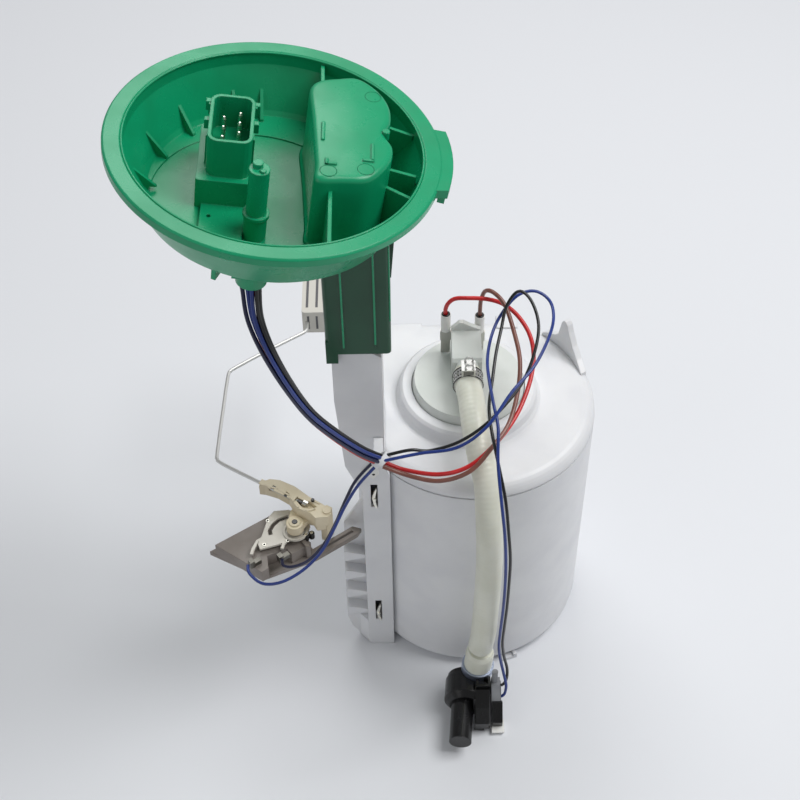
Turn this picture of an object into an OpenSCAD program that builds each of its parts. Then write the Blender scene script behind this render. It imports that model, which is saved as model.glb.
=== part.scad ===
// In-tank fuel pump module: a green flange bowl on a telescoping sleeve, a white swirl pot that
// holds the pump, a float lever on its tray, a hose with a quick coupling, and the wiring.
// Origin: centre of the pot's resting face. +Z up, -Y towards the hose, -X towards the float lever.

/* [Flange] */
// Outside radius of the flange rim
rim_r = 70; // [68:0.5:72]
// Width of the flat top of the rim
rim_w = 7.9; // [7:0.1:8.5]
// Thickness of the rim
rim_t = 4.5; // [4:0.1:5.5]
// Radius of the band that locates in the tank opening
spigot_r = 63.8; // [63.5:0.1:65]
// Height of the locating band
spigot_h = 5; // [4:0.5:6]
// Depth of the bowl, from the rim to its underside
bowl_depth = 28.5; // [27:0.5:30]
// Outside radius of the bowl's flat bottom
bowl_floor_r = 55; // [54.5:0.1:56]
// Wall of the bowl
bowl_wall = 2.2; // [2:0.1:2.6]
// Lean of the flange towards +X, in degrees
tilt = 8.6; // [8.2:0.1:9]
// Height of the rim's centre above the pot's resting face
flange_z = 343.6; // [342:0.2:346]
// Offset of the rim's centre from the pot's centre, along X
flange_x = -88; // [-89:0.2:-87]
// Offset of the rim's centre from the pot's centre, along Y
flange_y = -25.5; // [-26.5:0.1:-24.5]
// Width of the lug on the rim, in degrees
lug_arc = 30; // [26:1:32]
// Reach of the lug beyond the rim
lug_reach = 4.4; // [3.5:0.1:5]

/* [Spring housing] */
// Height of the housing above the rim
house_rise = 8.9; // [7:0.1:10]
// Bevel round the top of the housing
house_bevel = 2; // [1:0.1:2.4]
// Thickness of the housing's top
house_top = 2.2; // [1.8:0.1:3]
// Wall of the housing
house_wall = 2.2; // [1.8:0.1:2.4]

/* [Connector] */
// Outside width of the connector's shroud
con_w = 18.4; // [17:0.1:19]
// Outside length of the connector's shroud
con_l = 31; // [29:0.1:32]
// Wall of the shroud
con_wall = 1.5; // [1.2:0.1:1.8]
// Height of the shroud above the rim
con_rise = 6.4; // [5:0.1:8]
// Depth of the shroud's mouth
con_depth = 15.5; // [12:0.1:17]
// Radius of a contact pin
pin_r = 0.9; // [0.6:0.05:1.1]
// Distance between pins in a row
pin_pitch = 6.3; // [5.5:0.1:6.6]
// Distance between the two rows
row_gap = 6.6; // [6:0.1:7]

/* [Sleeve and guide] */
// Width of the green sleeve
sleeve_w = 29.5; // [29:0.1:30]
// Depth of the green sleeve
sleeve_d = 48; // [46:0.5:50]
// Wall of the sleeve
sleeve_wall = 1.8; // [1.5:0.1:2]
// Height of the sleeve's lower edge above the pot's resting face
sleeve_z = 242; // [240:0.5:246]
// Extra length of the sleeve's tongue
tongue_drop = 6; // [4:0.5:8]
// Running gap between sleeve and guide
slide_gap = 0.35; // [0.3:0.05:0.6]
// Height of the guide's top above the pot's resting face
guide_top = 300; // [296:0.5:302]
// Wall of the guide
guide_wall = 2.5; // [2:0.1:3]
// Wire thickness of the return spring
spring_wire = 1.6; // [1.2:0.1:2]
// Radius of the return spring, to the middle of its wire
spring_r = 7; // [6:0.1:8]

/* [Swirl pot] */
// Outside radius of the pot
pot_r = 62; // [61:0.1:62.5]
// Height of the pot's wall
pot_h = 150; // [148:0.5:152]
// Wall of the pot
pot_wall = 2.2; // [1.8:0.1:3]
// Radius of the pot's lower edge
pot_edge = 9; // [7:0.1:10]
// Distance from the pot's centre to its flat back
pot_back = 55.5; // [54:0.5:57]
// Height of the cover above the wall
cover_h = 8; // [7:0.1:9]
// Radius of the raised ring round the cap
ring_r = 35.5; // [34:0.1:37]
// Height of the raised ring above the cover
ring_h = 8; // [6:0.1:9]

/* [Pump] */
// Radius of the pump cap
cap_r = 28.5; // [27.5:0.1:29]
// Height of the pump cap above its ring
cap_rise = 5; // [4:0.1:6]
// Radius of the pump's can
can_r = 19; // [18:0.1:20]
// Length of the pump's can
can_h = 82; // [78:1:84]
// Radius of the pump's shaft
shaft_r = 2; // [1.8:0.1:2.3]
// Radius of the outlet nipple
nipple_r = 4.2; // [4:0.1:4.6]

/* [Float lever] */
// Thickness of the tray's plate
plate_t = 3; // [2.5:0.1:3.5]
// Height of the tray's raised block
block_h = 8; // [7:0.1:8.5]
// Height of the tray's plate above the pot's resting face
tray_z = 106; // [105:0.2:107]
// Thickness of the float wire
wire_d = 2; // [1.6:0.1:2.4]
// Length of the float
float_l = 42; // [38:0.5:46]
// Width of the float
float_w = 20; // [18:0.5:22]
// Height of the float
float_h = 16; // [14:0.5:18]

/* [Hose and wires] */
// Outside diameter of the fuel hose
hose_d = 13.2; // [12.4:0.1:13.4]
// Diameter of a pump wire
pump_wire_d = 2.2; // [1.8:0.1:2.4]
// Diameter of a signal wire
signal_wire_d = 1.6; // [1.4:0.1:1.8]
// Diameter of the wire bundle
bundle_d = 6.4; // [6:0.1:6.8]
// Radius of the coupling's spigot
spigot_tube_r = 6; // [5.6:0.1:6.3]
// Radius of the coupling's body
coupling_r = 12; // [11.5:0.1:12.5]

/* [Hidden] */
$fn = 48;
eps = 0.01;

// Vectors and outlines
function unit(v) = v / norm(v);
function arc_at(a, b, c, r, n) =
    let (u = unit(a - b), v = unit(c - b), half = acos(u * v) / 2)
    let (p = b + u * r / tan(half), q = b + v * r / tan(half), m = b + unit(u + v) * r / sin(half))
    [for (i = [0:n]) m + unit((p - m) * (1 - i / n) + (q - m) * i / n) * r];
function rounded(pts, r, n = 4) =
    let (k = len(pts))
    [for (i = [0:k - 1]) each arc_at(pts[(i + k - 1) % k], pts[i], pts[(i + 1) % k], r, n)];
function inward(a, b) = let (d = unit(b - a)) [-d[1], d[0]];
function inset(pts, d) =
    let (k = len(pts))
    [for (i = [0:k - 1])
        let (m = inward(pts[(i + k - 1) % k], pts[i]), n = inward(pts[i], pts[(i + 1) % k]))
        pts[i] + (m + n) * d / (1 + m * n)];
function box_outline(w, l) = [[-w / 2, -l / 2], [w / 2, -l / 2], [w / 2, l / 2], [-w / 2, l / 2]];

// A straight skin between two outlines that have the same number of points
module loft(lower, upper, z0, z1) {
    k = len(lower);
    polyhedron(
        points = concat([for (p = lower) [p[0], p[1], z0]], [for (p = upper) [p[0], p[1], z1]]),
        faces = concat(
            [[for (i = [0:k - 1]) i]],
            [[for (i = [k - 1:-1:0]) k + i]],
            [for (i = [0:k - 1]) [i, k + i, k + (i + 1) % k, (i + 1) % k]]
        )
    );
}

module prism(pts, z0, z1) {
    translate([0, 0, z0]) linear_extrude(z1 - z0) polygon(pts);
}

module tube(r_out, r_in, z0, z1) {
    difference() {
        translate([0, 0, z0]) cylinder(r = r_out, h = z1 - z0);
        translate([0, 0, z0 - 1]) cylinder(r = r_in, h = z1 - z0 + 2);
    }
}

// Cords: a smooth run through hand-placed points, swept as one tube
function blend_point(a, b, c, d, t) =
    0.5 * (2 * b + (c - a) * t + (2 * a - 5 * b + 4 * c - d) * t * t
        + (3 * b - a - 3 * c + d) * t * t * t);
function smooth(p, n) = [
    for (i = [0:len(p) - 2], k = [0:n - 1])
        blend_point(p[max(i - 1, 0)], p[i], p[i + 1], p[min(i + 2, len(p) - 1)], k / n),
    p[len(p) - 1]
];
function tangents(q) = [
    for (i = [0:len(q) - 1]) unit(q[min(i + 1, len(q) - 1)] - q[max(i - 1, 0)])
];
function carried(t, side, i = 0) =
    i == len(t) ? [] : let (u = unit(side - (side * t[i]) * t[i])) concat([u], carried(t, u, i + 1));

module cord(points, d, sides = 8, steps = 2) {
    q = smooth(points, steps);
    t = tangents(q);
    side = carried(t, [0.31, 0.95, 0.05]);
    last = (len(q) - 1) * sides;
    polyhedron(
        points = [
            for (i = [0:len(q) - 1], k = [0:sides - 1])
                q[i] + d / 2 * (cos(360 * k / sides) * side[i]
                    + sin(360 * k / sides) * cross(t[i], side[i]))
        ],
        faces = concat(
            [[for (k = [0:sides - 1]) k]],
            [[for (k = [sides - 1:-1:0]) last + k]],
            [for (i = [0:len(q) - 2], k = [0:sides - 1])
                [i * sides + k, (i + 1) * sides + k,
                    (i + 1) * sides + (k + 1) % sides, i * sides + (k + 1) % sides]]
        )
    );
}

// Routes of the cords, in millimetres
bundle_path = [
    [-97, -72, 307], [-97, -76, 293], [-93, -80, 277], [-86, -81, 256], [-78, -78, 234],
    [-68, -73, 214], [-57, -68, 196], [-49, -63, 184]
];
red_path = [
    [-47, -62, 181], [-37, -64, 177], [-20, -68, 178], [-6, -68, 184], [7, -58, 189],
    [17, -44, 192], [24, -28, 196], [27, -14, 200], [26, -2, 203], [21, 7, 207], [14, 13, 210],
    [6, 16, 211], [-3, 17, 211], [-10.8, 18.6, 209], [-14.6, 19, 203], [-14.6, 19, 194.7]
];
brown_path = [
    [-47, -65, 181], [-34, -68, 177], [-20, -72, 178], [-6, -72, 185], [5, -62, 191],
    [13, -50, 193], [18, -34, 197], [20, -18, 202], [18, -4, 207], [14, 8, 214], [9, 14, 217],
    [5, 19, 214], [3, 20.4, 207], [2.6, 20.4, 200], [2.6, 20.4, 192]
];
black_path = [
    [-47, -62, 185], [-34, -61, 188], [-25, -60, 186], [-12, -58, 189], [0, -53, 194],
    [11, -44, 199], [20, -33, 203], [26, -21, 209], [29, -8, 216], [26, 3, 222], [20, 7, 225],
    [14, 2, 220], [11, -8, 214], [8, -20, 210], [5.6, -34, 206], [3.4, -48, 203],
    [4.2, -60, 199], [6.9, -72, 190], [10.3, -82, 175], [12.1, -88, 158], [13.5, -91, 140],
    [13.6, -92, 120], [13.4, -92, 100], [12.9, -91, 80], [12.9, -89, 62], [14.6, -87, 46],
    [16.4, -87, 36], [16.6, -88.5, 29], [15.4, -89.5, 24.6], [13.7, -90, 23]
];
blue_path = [
    [-47, -65, 185], [-30, -65, 190], [-12, -65, 194], [2, -60, 203], [14, -46, 211],
    [25, -33, 214], [33, -16, 215], [37, 0, 213], [36, 11, 214], [29, 15, 217], [20, 13, 216],
    [12, 7, 209], [7, -3, 205], [4, -20, 206], [4, -36, 208], [5.4, -49, 206],
    [7.1, -60, 201.5], [6.6, -73, 192.4], [8.2, -84, 176.5], [10.1, -90.2, 159], [11.2, -93, 140],
    [11.5, -94, 120], [11.3, -94, 100], [10.8, -93, 80], [10.9, -91, 62], [12.6, -89, 46],
    [14.4, -90.4, 36], [16, -92.4, 27], [15.4, -93.4, 20], [13.7, -93.6, 17.6]
];
sender_near_path = [
    [-50, -65, 182], [-59, -68, 171], [-66, -71, 158], [-72, -76, 146], [-78, -81, 136],
    [-87, -86, 128], [-98, -89, 122], [-108, -87, 118], [-115, -80, 117], [-116, -75, 117]
];
sender_far_path = [
    [-50, -61, 182], [-60, -64, 170], [-66, -67, 157], [-71, -71, 145], [-77, -76, 135],
    [-85, -80, 127], [-93, -80, 122], [-98, -77, 119], [-99, -72, 117]
];
hose_path = [
    [-4.5, -6, 182], [-4.5, -16, 182.5], [-3.5, -25, 183.5], [-2.5, -39.5, 181.6],
    [-0.5, -53, 176], [2.7, -64.6, 167.1], [3.5, -73.5, 155.5], [4, -79.1, 142],
    [4.4, -81, 127.5], [4.2, -83, 112], [3.9, -84, 96], [3.5, -84, 80], [3.2, -83, 64],
    [2.7, -81, 54], [2.3, -80, 47]
];

// Places worked out from the sizes above
cover_z = pot_h + cover_h;
ring_z = cover_z + ring_h;
cap_z = ring_z + cap_rise;
valve_at = [26, 20];
stem_r = 1.5;
cap_x = -3.5;
cap_y = 1;
hood_w = 15;
bowl_in = bowl_depth - bowl_wall;
floor_z = -bowl_in - 0.6;
panel_r = 44;
con_at = [-18.1, 4.8];
post_r = 4.2;
post_top = 8.4;
pot_gap = 0.3;
sleeve_x = -71.4;
sleeve_y = -49.4;
guide_left = sleeve_x + sleeve_wall + slide_gap;
guide_front = sleeve_y + sleeve_wall + slide_gap;
guide_right = -46.4;
guide_step = -53.4;
guide_back = sleeve_y + sleeve_d - sleeve_wall - slide_gap;
strip_left = 3.8 - pot_r;
strip_right = strip_left + 14.2;
wing_x = strip_left - 11.6;
outlet_z = cap_z + 11;
can_z = 52;
can_top = can_z + can_h;
nipple_x = -4.5;
plug_x = [-14.6, 2.6];
plug_y = [19, 20.4];
plug_z = [16.2, 13.6];
block_z = tray_z + block_h;
pivot = [-92.8, -54.4];
tray_foot = [strip_left - 0.1, -46.1];
tray_turn = 35;

house_outline = [
    [17, -30.3], [38.4, -27.2], [46.2, -16.2], [47.8, -5.6], [44, 3.2], [47.2, 11.5],
    [46.5, 22.2], [41.5, 32], [33.2, 38.8], [16.2, 33.9], [12.6, 27]
];
spring_x = 27.5;
spring_y = 1;

module on_flange() {
    translate([flange_x, flange_y, flange_z]) rotate([0, tilt, 0]) children();
}

module at_cap() {
    translate([cap_x, cap_y, 0]) children();
}

module on_tray() {
    translate([tray_foot[0], tray_foot[1], 0]) rotate(tray_turn) children();
}

// A thin upright web from one plan point to another, whose top slopes from h0 to h1
module web(a, b, h0, h1, foot, t = 1.6) {
    d = b - a;
    translate([a[0], a[1], 0]) rotate(atan2(d[1], d[0])) rotate([90, 0, 0])
        translate([0, 0, -t / 2]) linear_extrude(t)
            polygon([[0, foot], [norm(d), foot], [norm(d), h1], [0, h0]]);
}

module bowl_shell() {
    wall_top = rim_r - rim_w;
    rotate_extrude() polygon([
        [0, -bowl_depth], [bowl_floor_r - 2, -bowl_depth], [bowl_floor_r, -bowl_depth + 2],
        [spigot_r, -rim_t - spigot_h], [spigot_r, -rim_t], [rim_r - 0.6, -rim_t],
        [rim_r, -rim_t + 0.6], [rim_r, -0.8], [rim_r - 0.8, 0], [wall_top + 0.8, 0],
        [wall_top, -0.8], [wall_top - 0.4, -6], [bowl_floor_r - bowl_wall, -bowl_in + 2],
        [bowl_floor_r - bowl_wall - 1.5, -bowl_in], [0, -bowl_in]
    ]);
}

module rim_lug() {
    lug_r = rim_r + lug_reach;
    translate([0, 0, -rim_t]) linear_extrude(rim_t - 0.3) polygon(concat(
        [for (a = [-lug_arc / 2:lug_arc / 8:lug_arc / 2]) lug_r * [cos(a), sin(a)]],
        [for (a = [lug_arc / 2:-lug_arc / 8:-lug_arc / 2])
            (rim_r - 1) * [cos(a * 1.12), sin(a * 1.12)]]
    ));
    rotate(-lug_arc / 2 + 1) translate([rim_r + 0.4, -1.5, -rim_t - 3]) cube([3, 3.5, 4]);
}

// Outline of the housing over the spring, as seen from above
function house_rim() = rounded(house_outline, 2.2);

module spring_housing() {
    top = rounded(inset(house_outline, house_bevel), 2.2);
    mark_h = 0.7;
    color("mediumseagreen") on_flange() difference() {
        union() {
            prism(house_rim(), -bowl_in, house_rise - house_bevel);
            loft(house_rim(), top, house_rise - house_bevel, house_rise);
            translate([0, 0, house_rise - eps]) {
                translate([18.5, -6.5, 0]) cube([1.2, 11.5, mark_h]);
                translate([20.3, -21.5, 0]) cube([4.6, 1.4, mark_h]);
                translate([20.3, -21.5, 0]) cube([1.2, 3.6, mark_h]);
                translate([38.8, -17, 0]) cube([1.2, 11, mark_h]);
                translate([35.4, -17.6, 0]) cube([4.6, 1.5, mark_h]);
                translate([45, 2.8, -2]) cylinder(r = 1.6, h = 2 + mark_h);
            }
        }
        prism(rounded(inset(house_outline, house_wall), 1), -bowl_in - 1, house_rise - house_top);
    }
}

module connector_shroud() {
    mouth = rounded(box_outline(con_w, con_l), 4.4);
    base = rounded([[-31, -13.5], [-8.4, -13.5], [-8.4, 23], [-31, 23]], 1.5);
    base_top = con_rise - 18.6;
    color("mediumseagreen") on_flange() difference() {
        union() {
            prism(base, floor_z, base_top);
            translate([con_at[0], con_at[1], 0]) {
                prism(mouth, base_top - 1, con_rise);
                for (s = [-1, 1]) {
                    translate([s * con_w / 2 - 0.9, con_l / 2 - 6.5, con_rise - 6])
                        cube([1.8, 3.2, 5.2]);
                    translate([s * con_w / 2 - 0.8, -con_l / 2 + 8, base_top])
                        cube([1.6, 2.4, 14.5]);
                }
            }
            translate([-28.2, -34, floor_z]) cube([18, 22, 2.2]);
        }
        translate([con_at[0], con_at[1], 0])
            prism(rounded(box_outline(con_w - 2 * con_wall, con_l - 2 * con_wall), 3),
                con_rise - con_depth, con_rise + 1);
        // Small hole in the pad
        translate([-24.5, -20.8, floor_z - 1]) cylinder(r = 0.9, h = 8);
    }
}

module vent_post() {
    color("mediumseagreen") on_flange() translate([-5.3, -27.6, 0]) {
        translate([0, 0, floor_z]) cylinder(r = 4.8, h = 11.4);
        translate([0, 0, -15.6]) cylinder(r = 5.5, h = 1.6);
        translate([0, 0, -15]) cylinder(r = post_r, h = post_top + 15);
        translate([-0.8, 1.4, post_top - 0.5]) cylinder(r = 2.1, h = 2.6);
        translate([1.5, -1.9, post_top - 0.5]) cylinder(r = 1.2, h = 1.4);
    }
}

module bowl_ribs() {
    foot = -bowl_in - 0.4;
    // Small gussets in the corner of wall and floor
    for (a = [97, 110, 137, 161, 186])
        web(61 * [cos(a), sin(a)], 47 * [cos(a), sin(a)], -12, -25.2, foot);
    // Level webs from the housing to the wall
    web([19.5, 30], [18.8, 59.5], -1.6, -1.6, foot);
    web([45.5, 24], [58.5, 19.6], -4, -4.4, foot);
    web([46, -3], [59.5, -6], -5, -5.4, foot);
    web([44, -12], [57, -19], -6, -6.4, foot);
    web([41.5, 31], [47, 38], -3, -3.4, foot);
    web([23.2, -29], [23.6, -57.5], 3, -0.6, foot);
}

module flange_bowl() {
    color("mediumseagreen") on_flange() difference() {
        union() {
            bowl_shell();
            rim_lug();
            intersection() {
                bowl_ribs();
                translate([0, 0, -bowl_depth + 0.5])
                    cylinder(r1 = bowl_floor_r - 0.6, r2 = rim_r - 5, h = bowl_depth + 3);
            }
            rotate(248) translate([bowl_floor_r - 6, -1, -bowl_depth - 4]) cube([5, 2, 5]);
        }
        // Seat of the housing, and the sunk round panel beside it
        prism(house_rim(), -bowl_in, house_rise);
        difference() {
            translate([-6.2, -7, floor_z]) cylinder(r = panel_r, h = 2);
            prism(house_rim(), floor_z - 1, 0);
        }
        // The guide's way in through the floor
        translate([0, 0, -bowl_depth - 1]) linear_extrude(bowl_wall + 2) polygon([
            [21, sleeve_y + sleeve_wall - flange_y], [43.4, sleeve_y + sleeve_wall - flange_y],
            [43.4, guide_back + 0.4 - flange_y], [21, guide_back + 0.4 - flange_y]
        ]);
    }
}

module connector_pins() {
    color("gainsboro") on_flange() translate([con_at[0], con_at[1], con_rise - con_depth])
        for (row = [0, 1], i = [0:2])
            translate([(row - 0.5) * row_gap, (i - 1.15 + 0.55 * row) * pin_pitch, 0]) {
                cylinder(r = pin_r, h = con_depth - 4.6);
                translate([0, 0, con_depth - 4.6]) cylinder(r1 = pin_r, r2 = 0.4, h = 1);
            }
}

// Boss under the bowl where the wires leave
module wire_grommet() {
    color("seagreen") on_flange() translate([-5, 24 - rim_r, -bowl_depth - 6])
        difference() {
            union() {
                cylinder(r = 6.5, h = 6);
                translate([-8, -4, 3.5]) cube([16, 8, 2.5]);
            }
            translate([0, 0, -1]) cylinder(r = bundle_d / 2 + 0.3, h = 3.4);
        }
}

module guide_sleeve() {
    color("darkgreen") difference() {
        union() {
            prism(rounded([
                [sleeve_x, sleeve_y], [sleeve_x + sleeve_w, sleeve_y],
                [sleeve_x + sleeve_w, sleeve_y + sleeve_d], [sleeve_x, sleeve_y + sleeve_d]
            ], 2), sleeve_z, flange_z);
            // Tongue at the left corner
            translate([sleeve_x, sleeve_y, sleeve_z - tongue_drop])
                cube([5.4, 14, tongue_drop + 8]);
            // Two raised ribs on the front
            for (x = [7.8, 22])
                translate([sleeve_x + x, sleeve_y - 0.9, sleeve_z + 4]) cube([1, 2, 100]);
            // Gusset on the right side
            translate([0, sleeve_y + 22, 0]) rotate([90, 0, 0]) linear_extrude(2)
                polygon([
                    [sleeve_x + sleeve_w - 1, sleeve_z + 28], [sleeve_x + sleeve_w + 0.5, sleeve_z + 28],
                    [sleeve_x + sleeve_w + 6, flange_z], [sleeve_x + sleeve_w - 1, flange_z]
                ]);
        }
        translate([sleeve_x + sleeve_wall, sleeve_y + sleeve_wall, sleeve_z - tongue_drop - 1])
            cube([sleeve_w - 2 * sleeve_wall, sleeve_d - 2 * sleeve_wall, 200]);
        // Everything above the underside of the bowl
        on_flange() translate([0, 0, -bowl_depth]) cylinder(r = 120, h = 120);
    }
}

module return_spring() {
    turns = 6;
    steps = 12;
    z0 = guide_top + spring_wire / 2 + 0.1;
    on_top = flange_z + (house_rise - house_top) * cos(tilt) - (spring_x + spring_r) * sin(tilt);
    rise = on_top - spring_wire / 2 - 1.6 - z0;
    sx = flange_x + spring_x * cos(tilt);
    sy = flange_y + spring_y;
    color("silver") cord(
        [for (i = [0:turns * steps])
            [sx + spring_r * cos(360 * i / steps), sy + spring_r * sin(360 * i / steps),
                z0 + rise * i / (turns * steps)]],
        spring_wire, 6, 1
    );
}

module guide_outline() {
    polygon([
        [guide_left, sleeve_z - 34], [-66, 160], [strip_left, 138.6], [strip_left, 2],
        [strip_left + 2, 0], [strip_right, 0], [strip_right, 150], [guide_right, cover_z + 2],
        [guide_right, sleeve_z - 5], [guide_step, sleeve_z], [guide_step, guide_top],
        [guide_left, guide_top]
    ]);
}

// Thin wing beside the strip, with wedge-shaped gussets in front of it
module strip_wing() {
    wing_y = -39;
    translate([0, wing_y, 0]) rotate([90, 0, 0]) {
        linear_extrude(2) polygon([
            [strip_left + 3, 127], [strip_left, 127], [wing_x + 1.1, 106], [wing_x + 0.2, 84],
            [wing_x, 19], [wing_x + 2.6, 9], [wing_x + 8, 0.5], [strip_left + 3, 0.5]
        ]);
        for (i = [0:3])
            translate([0, 33 + 17 * i, 0]) linear_extrude(wing_y - guide_front - 0.4)
                polygon([[wing_x + 0.6, -4.5], [strip_left + 1, -1], [strip_left + 1, 1],
                    [wing_x + 0.6, 4.5]]);
    }
    // Sloping foot below the gussets
    translate([0, 0, 0.5]) linear_extrude(21)
        polygon([[strip_left + 1, guide_front + 0.3], [strip_left + 1, wing_y - 1],
            [wing_x + 6, wing_y - 1]]);
}

// The white column that the sleeve slides on, down to the strip on the pot's side
module guide_post() {
    color("whitesmoke") difference() {
        union() {
            difference() {
                translate([0, guide_back, 0]) rotate([90, 0, 0])
                    linear_extrude(guide_back - guide_front) guide_outline();
                // Hollow of the column
                translate([guide_left + guide_wall + 1.5, guide_front + guide_wall, cover_z + 4])
                    cube([guide_step - guide_left - 2 * guide_wall - 1.5,
                        guide_back - guide_front - 2 * guide_wall,
                        guide_top - guide_wall - cover_z - 4]);
                // Hollow behind the strip
                translate([strip_left + guide_wall, guide_front + guide_wall, 3])
                    cube([strip_right - strip_left - 2 * guide_wall, 60, pot_h - 5]);
            }
            strip_wing();
        }
        // Room for the pot and its cover
        translate([0, 0, -1]) cylinder(r = pot_r + pot_gap, h = cover_z + pot_gap + 1);
        // Two latch windows
        for (z = [25, 127])
            translate([strip_left + 4.3, guide_front - 1, z]) cube([3.4, guide_wall + 2, 18]);
    }
}

// Everything in front of a flat back at y, whose upper edge can be rounded
module before_back(y, z0, z1, r_top) {
    far = -2 * pot_r;
    rotate([90, 0, 90]) translate([0, 0, -1.2 * pot_r]) linear_extrude(2.4 * pot_r)
        polygon(concat(
            [[far, z0], [y, z0]],
            r_top > 0 ? arc_at([y, z0], [y, z1], [far, z1], r_top, 5) : [[y, z1]],
            [[far, z1]]
        ));
}

module swirl_pot() {
    inner = pot_r - pot_wall;
    hook_reach = 7;
    color("white") difference() {
        intersection() {
            rotate_extrude() polygon(concat(
                [[0, 0]],
                [for (a = [-90:15:0])
                    [pot_r - pot_edge + pot_edge * cos(a), pot_edge + pot_edge * sin(a)]],
                [[pot_r, pot_h], [0, pot_h]]
            ));
            before_back(pot_back, -1, pot_h + 1, 0);
        }
        intersection() {
            rotate_extrude() polygon(concat(
                [[0, pot_wall]],
                [for (a = [-90:15:0])
                    [inner - pot_edge + pot_edge * cos(a), pot_wall + pot_edge + pot_edge * sin(a)]],
                [[inner, pot_h + 1], [0, pot_h + 1]]
            ));
            before_back(pot_back - pot_wall, 0, pot_h + 2, 0);
        }
        // Bore for the foot valve's stem, and the holes that let fuel in under its disc
        translate([valve_at[0], valve_at[1], -1]) {
            cylinder(r = stem_r + 0.05, h = 10);
            for (a = [45:90:315]) rotate(a) translate([6.2, 0, 0]) cylinder(r = 2.4, h = 10);
        }
        // Shallow step under the base
        translate([0, 0, -1]) difference() {
            cylinder(r = pot_r - 16, h = 1.8);
            translate([0, 0, -1]) cylinder(r = 12, h = 4);
        }
    }
    // Hook at the pot's lower edge
    color("white") rotate(-72) translate([pot_r + 1, 0, 0]) rotate(90) {
        translate([-3, 0, 0]) cube([9, pot_edge + 5, pot_wall - 0.3]);
        translate([4, 0, 0]) cube([2, hook_reach, 0.4 * pot_edge]);
    }
}

// Upright horn and its buttress on the rim, and the low lug beside it
module cover_horn() {
    horn_at = 33;
    intersection() {
        tube(pot_r - 1.4, pot_r - 4.8, cover_z - 7, cover_z + 24);
        rotate(horn_at) rotate([90, 0, 90]) translate([0, cover_z, 30]) linear_extrude(pot_r)
            polygon([[-19.5, -5], [16.5, -5], [15, 1.5], [11, 4], [7, 5.6], [4.6, 8], [3.6, 13],
                [2.6, 18.4], [1.4, 20.4], [-0.2, 20.6], [-1.8, 19], [-3.4, 15], [-7.6, 8.6],
                [-13, 4], [-19.5, 0.4]]);
    }
    intersection() {
        translate([0, 0, pot_h]) cylinder(r = pot_r - 2, h = cover_h + 1);
        translate([14, pot_back - 8, pot_h]) rotate([90, 0, 90]) linear_extrude(11)
            polygon([[0, 0], [12, 0], [12, cover_h - 2.4], [9, cover_h + 0.8], [0, cover_h + 0.8]]);
    }
}

module pot_cover() {
    edge = 7;
    color("white") {
        intersection() {
            rotate_extrude() polygon(concat(
                [[cap_r + 9, cover_z - 3], [pot_r - 5, pot_h]],
                [for (a = [0:15:90])
                    [pot_r - edge + edge * cos(a), cover_z - edge + edge * sin(a)]],
                [[cap_r + 9, cover_z]]
            ));
            before_back(pot_back, pot_h, cover_z, edge);
        }
        at_cap() rotate_extrude() polygon([
            [cap_r + 0.4, cover_z - 3], [cap_r + 14, cover_z - 3], [cap_r + 14, cover_z],
            [ring_r + 1.5, cover_z], [ring_r, cover_z + 2], [ring_r - 0.5, ring_z - 1.5],
            [ring_r - 2, ring_z], [cap_r + 0.4, ring_z]
        ]);
        // Shelf that fills the corner between the pot and its column
        translate([0, 0, cover_z - 5]) linear_extrude(5) polygon(concat(
            [[strip_left + 12, guide_back + pot_gap]],
            [[16 - pot_r, 20], [-26, pot_back - 12], [-26, pot_back - 3]],
            arc_at([-26, pot_back - 3], [strip_left + 12, pot_back - 3],
                [strip_left + 12, guide_back], 6, 4)
        ));
        cover_horn();
    }
}

module pump_cap() {
    at_cap() color("whitesmoke") {
        translate([0, 0, ring_z - 6]) cylinder(r = cap_r, h = 6);
        translate([0, 0, ring_z - eps]) cylinder(r1 = cap_r, r2 = cap_r - 1, h = cap_rise);
        // Hood over the outlet, and the peaked crest behind it
        translate([-1 - hood_w / 2, 0, cap_z - eps]) rotate([90, 0, 90]) linear_extrude(hood_w)
            polygon([[-3.4, 0], [-3.4, 14], [-2, 15.8], [0.5, 16.5], [14.6, 19.5], [16.6, 19.5],
                [16.6, 0]]);
        translate([-1, 16.6, cap_z + 12]) rotate([90, 0, 0]) linear_extrude(2.6)
            polygon([[-hood_w / 2, 0], [hood_w / 2, 0], [hood_w / 2, 7.6], [2.4, 10],
                [-1.4, 12.4], [-3.4, 12.4], [-hood_w / 2, 8]]);
    }
    color("whitesmoke") translate([nipple_x, -2, outlet_z]) rotate([90, 0, 0])
        difference() {
            union() {
                cylinder(r = 5.6, h = 3);
                cylinder(r = nipple_r, h = 20);
            }
            translate([0, 0, 4]) cylinder(r = nipple_r - 1.2, h = 20);
        }
}

module pump_can() {
    at_cap() color("silver") tube(can_r, can_r - 1.2, can_z, can_top);
}

module pump_magnets() {
    at_cap() color("dimgray") intersection() {
        tube(can_r - 1.5, can_r - 5, 66, 112);
        for (a = [0, 180]) rotate(a) translate([0, 0, 60])
            linear_extrude(60) polygon([[0, 0], [30, -38], [30, 38]]);
    }
}

module pump_armature() {
    slots = 8;
    at_cap() color("peru") {
        difference() {
            tube(can_r - 5.8, shaft_r, 68, 110);
            for (i = [0:slots - 1]) rotate(360 * i / slots)
                translate([can_r - 8.5, -0.9, 60]) cube([6, 1.8, 60]);
        }
        tube(7, shaft_r, 112, 120);
    }
}

module pump_shaft() {
    at_cap() color("silver") translate([0, 0, 46]) cylinder(r = shaft_r, h = can_top - 50);
}

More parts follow.
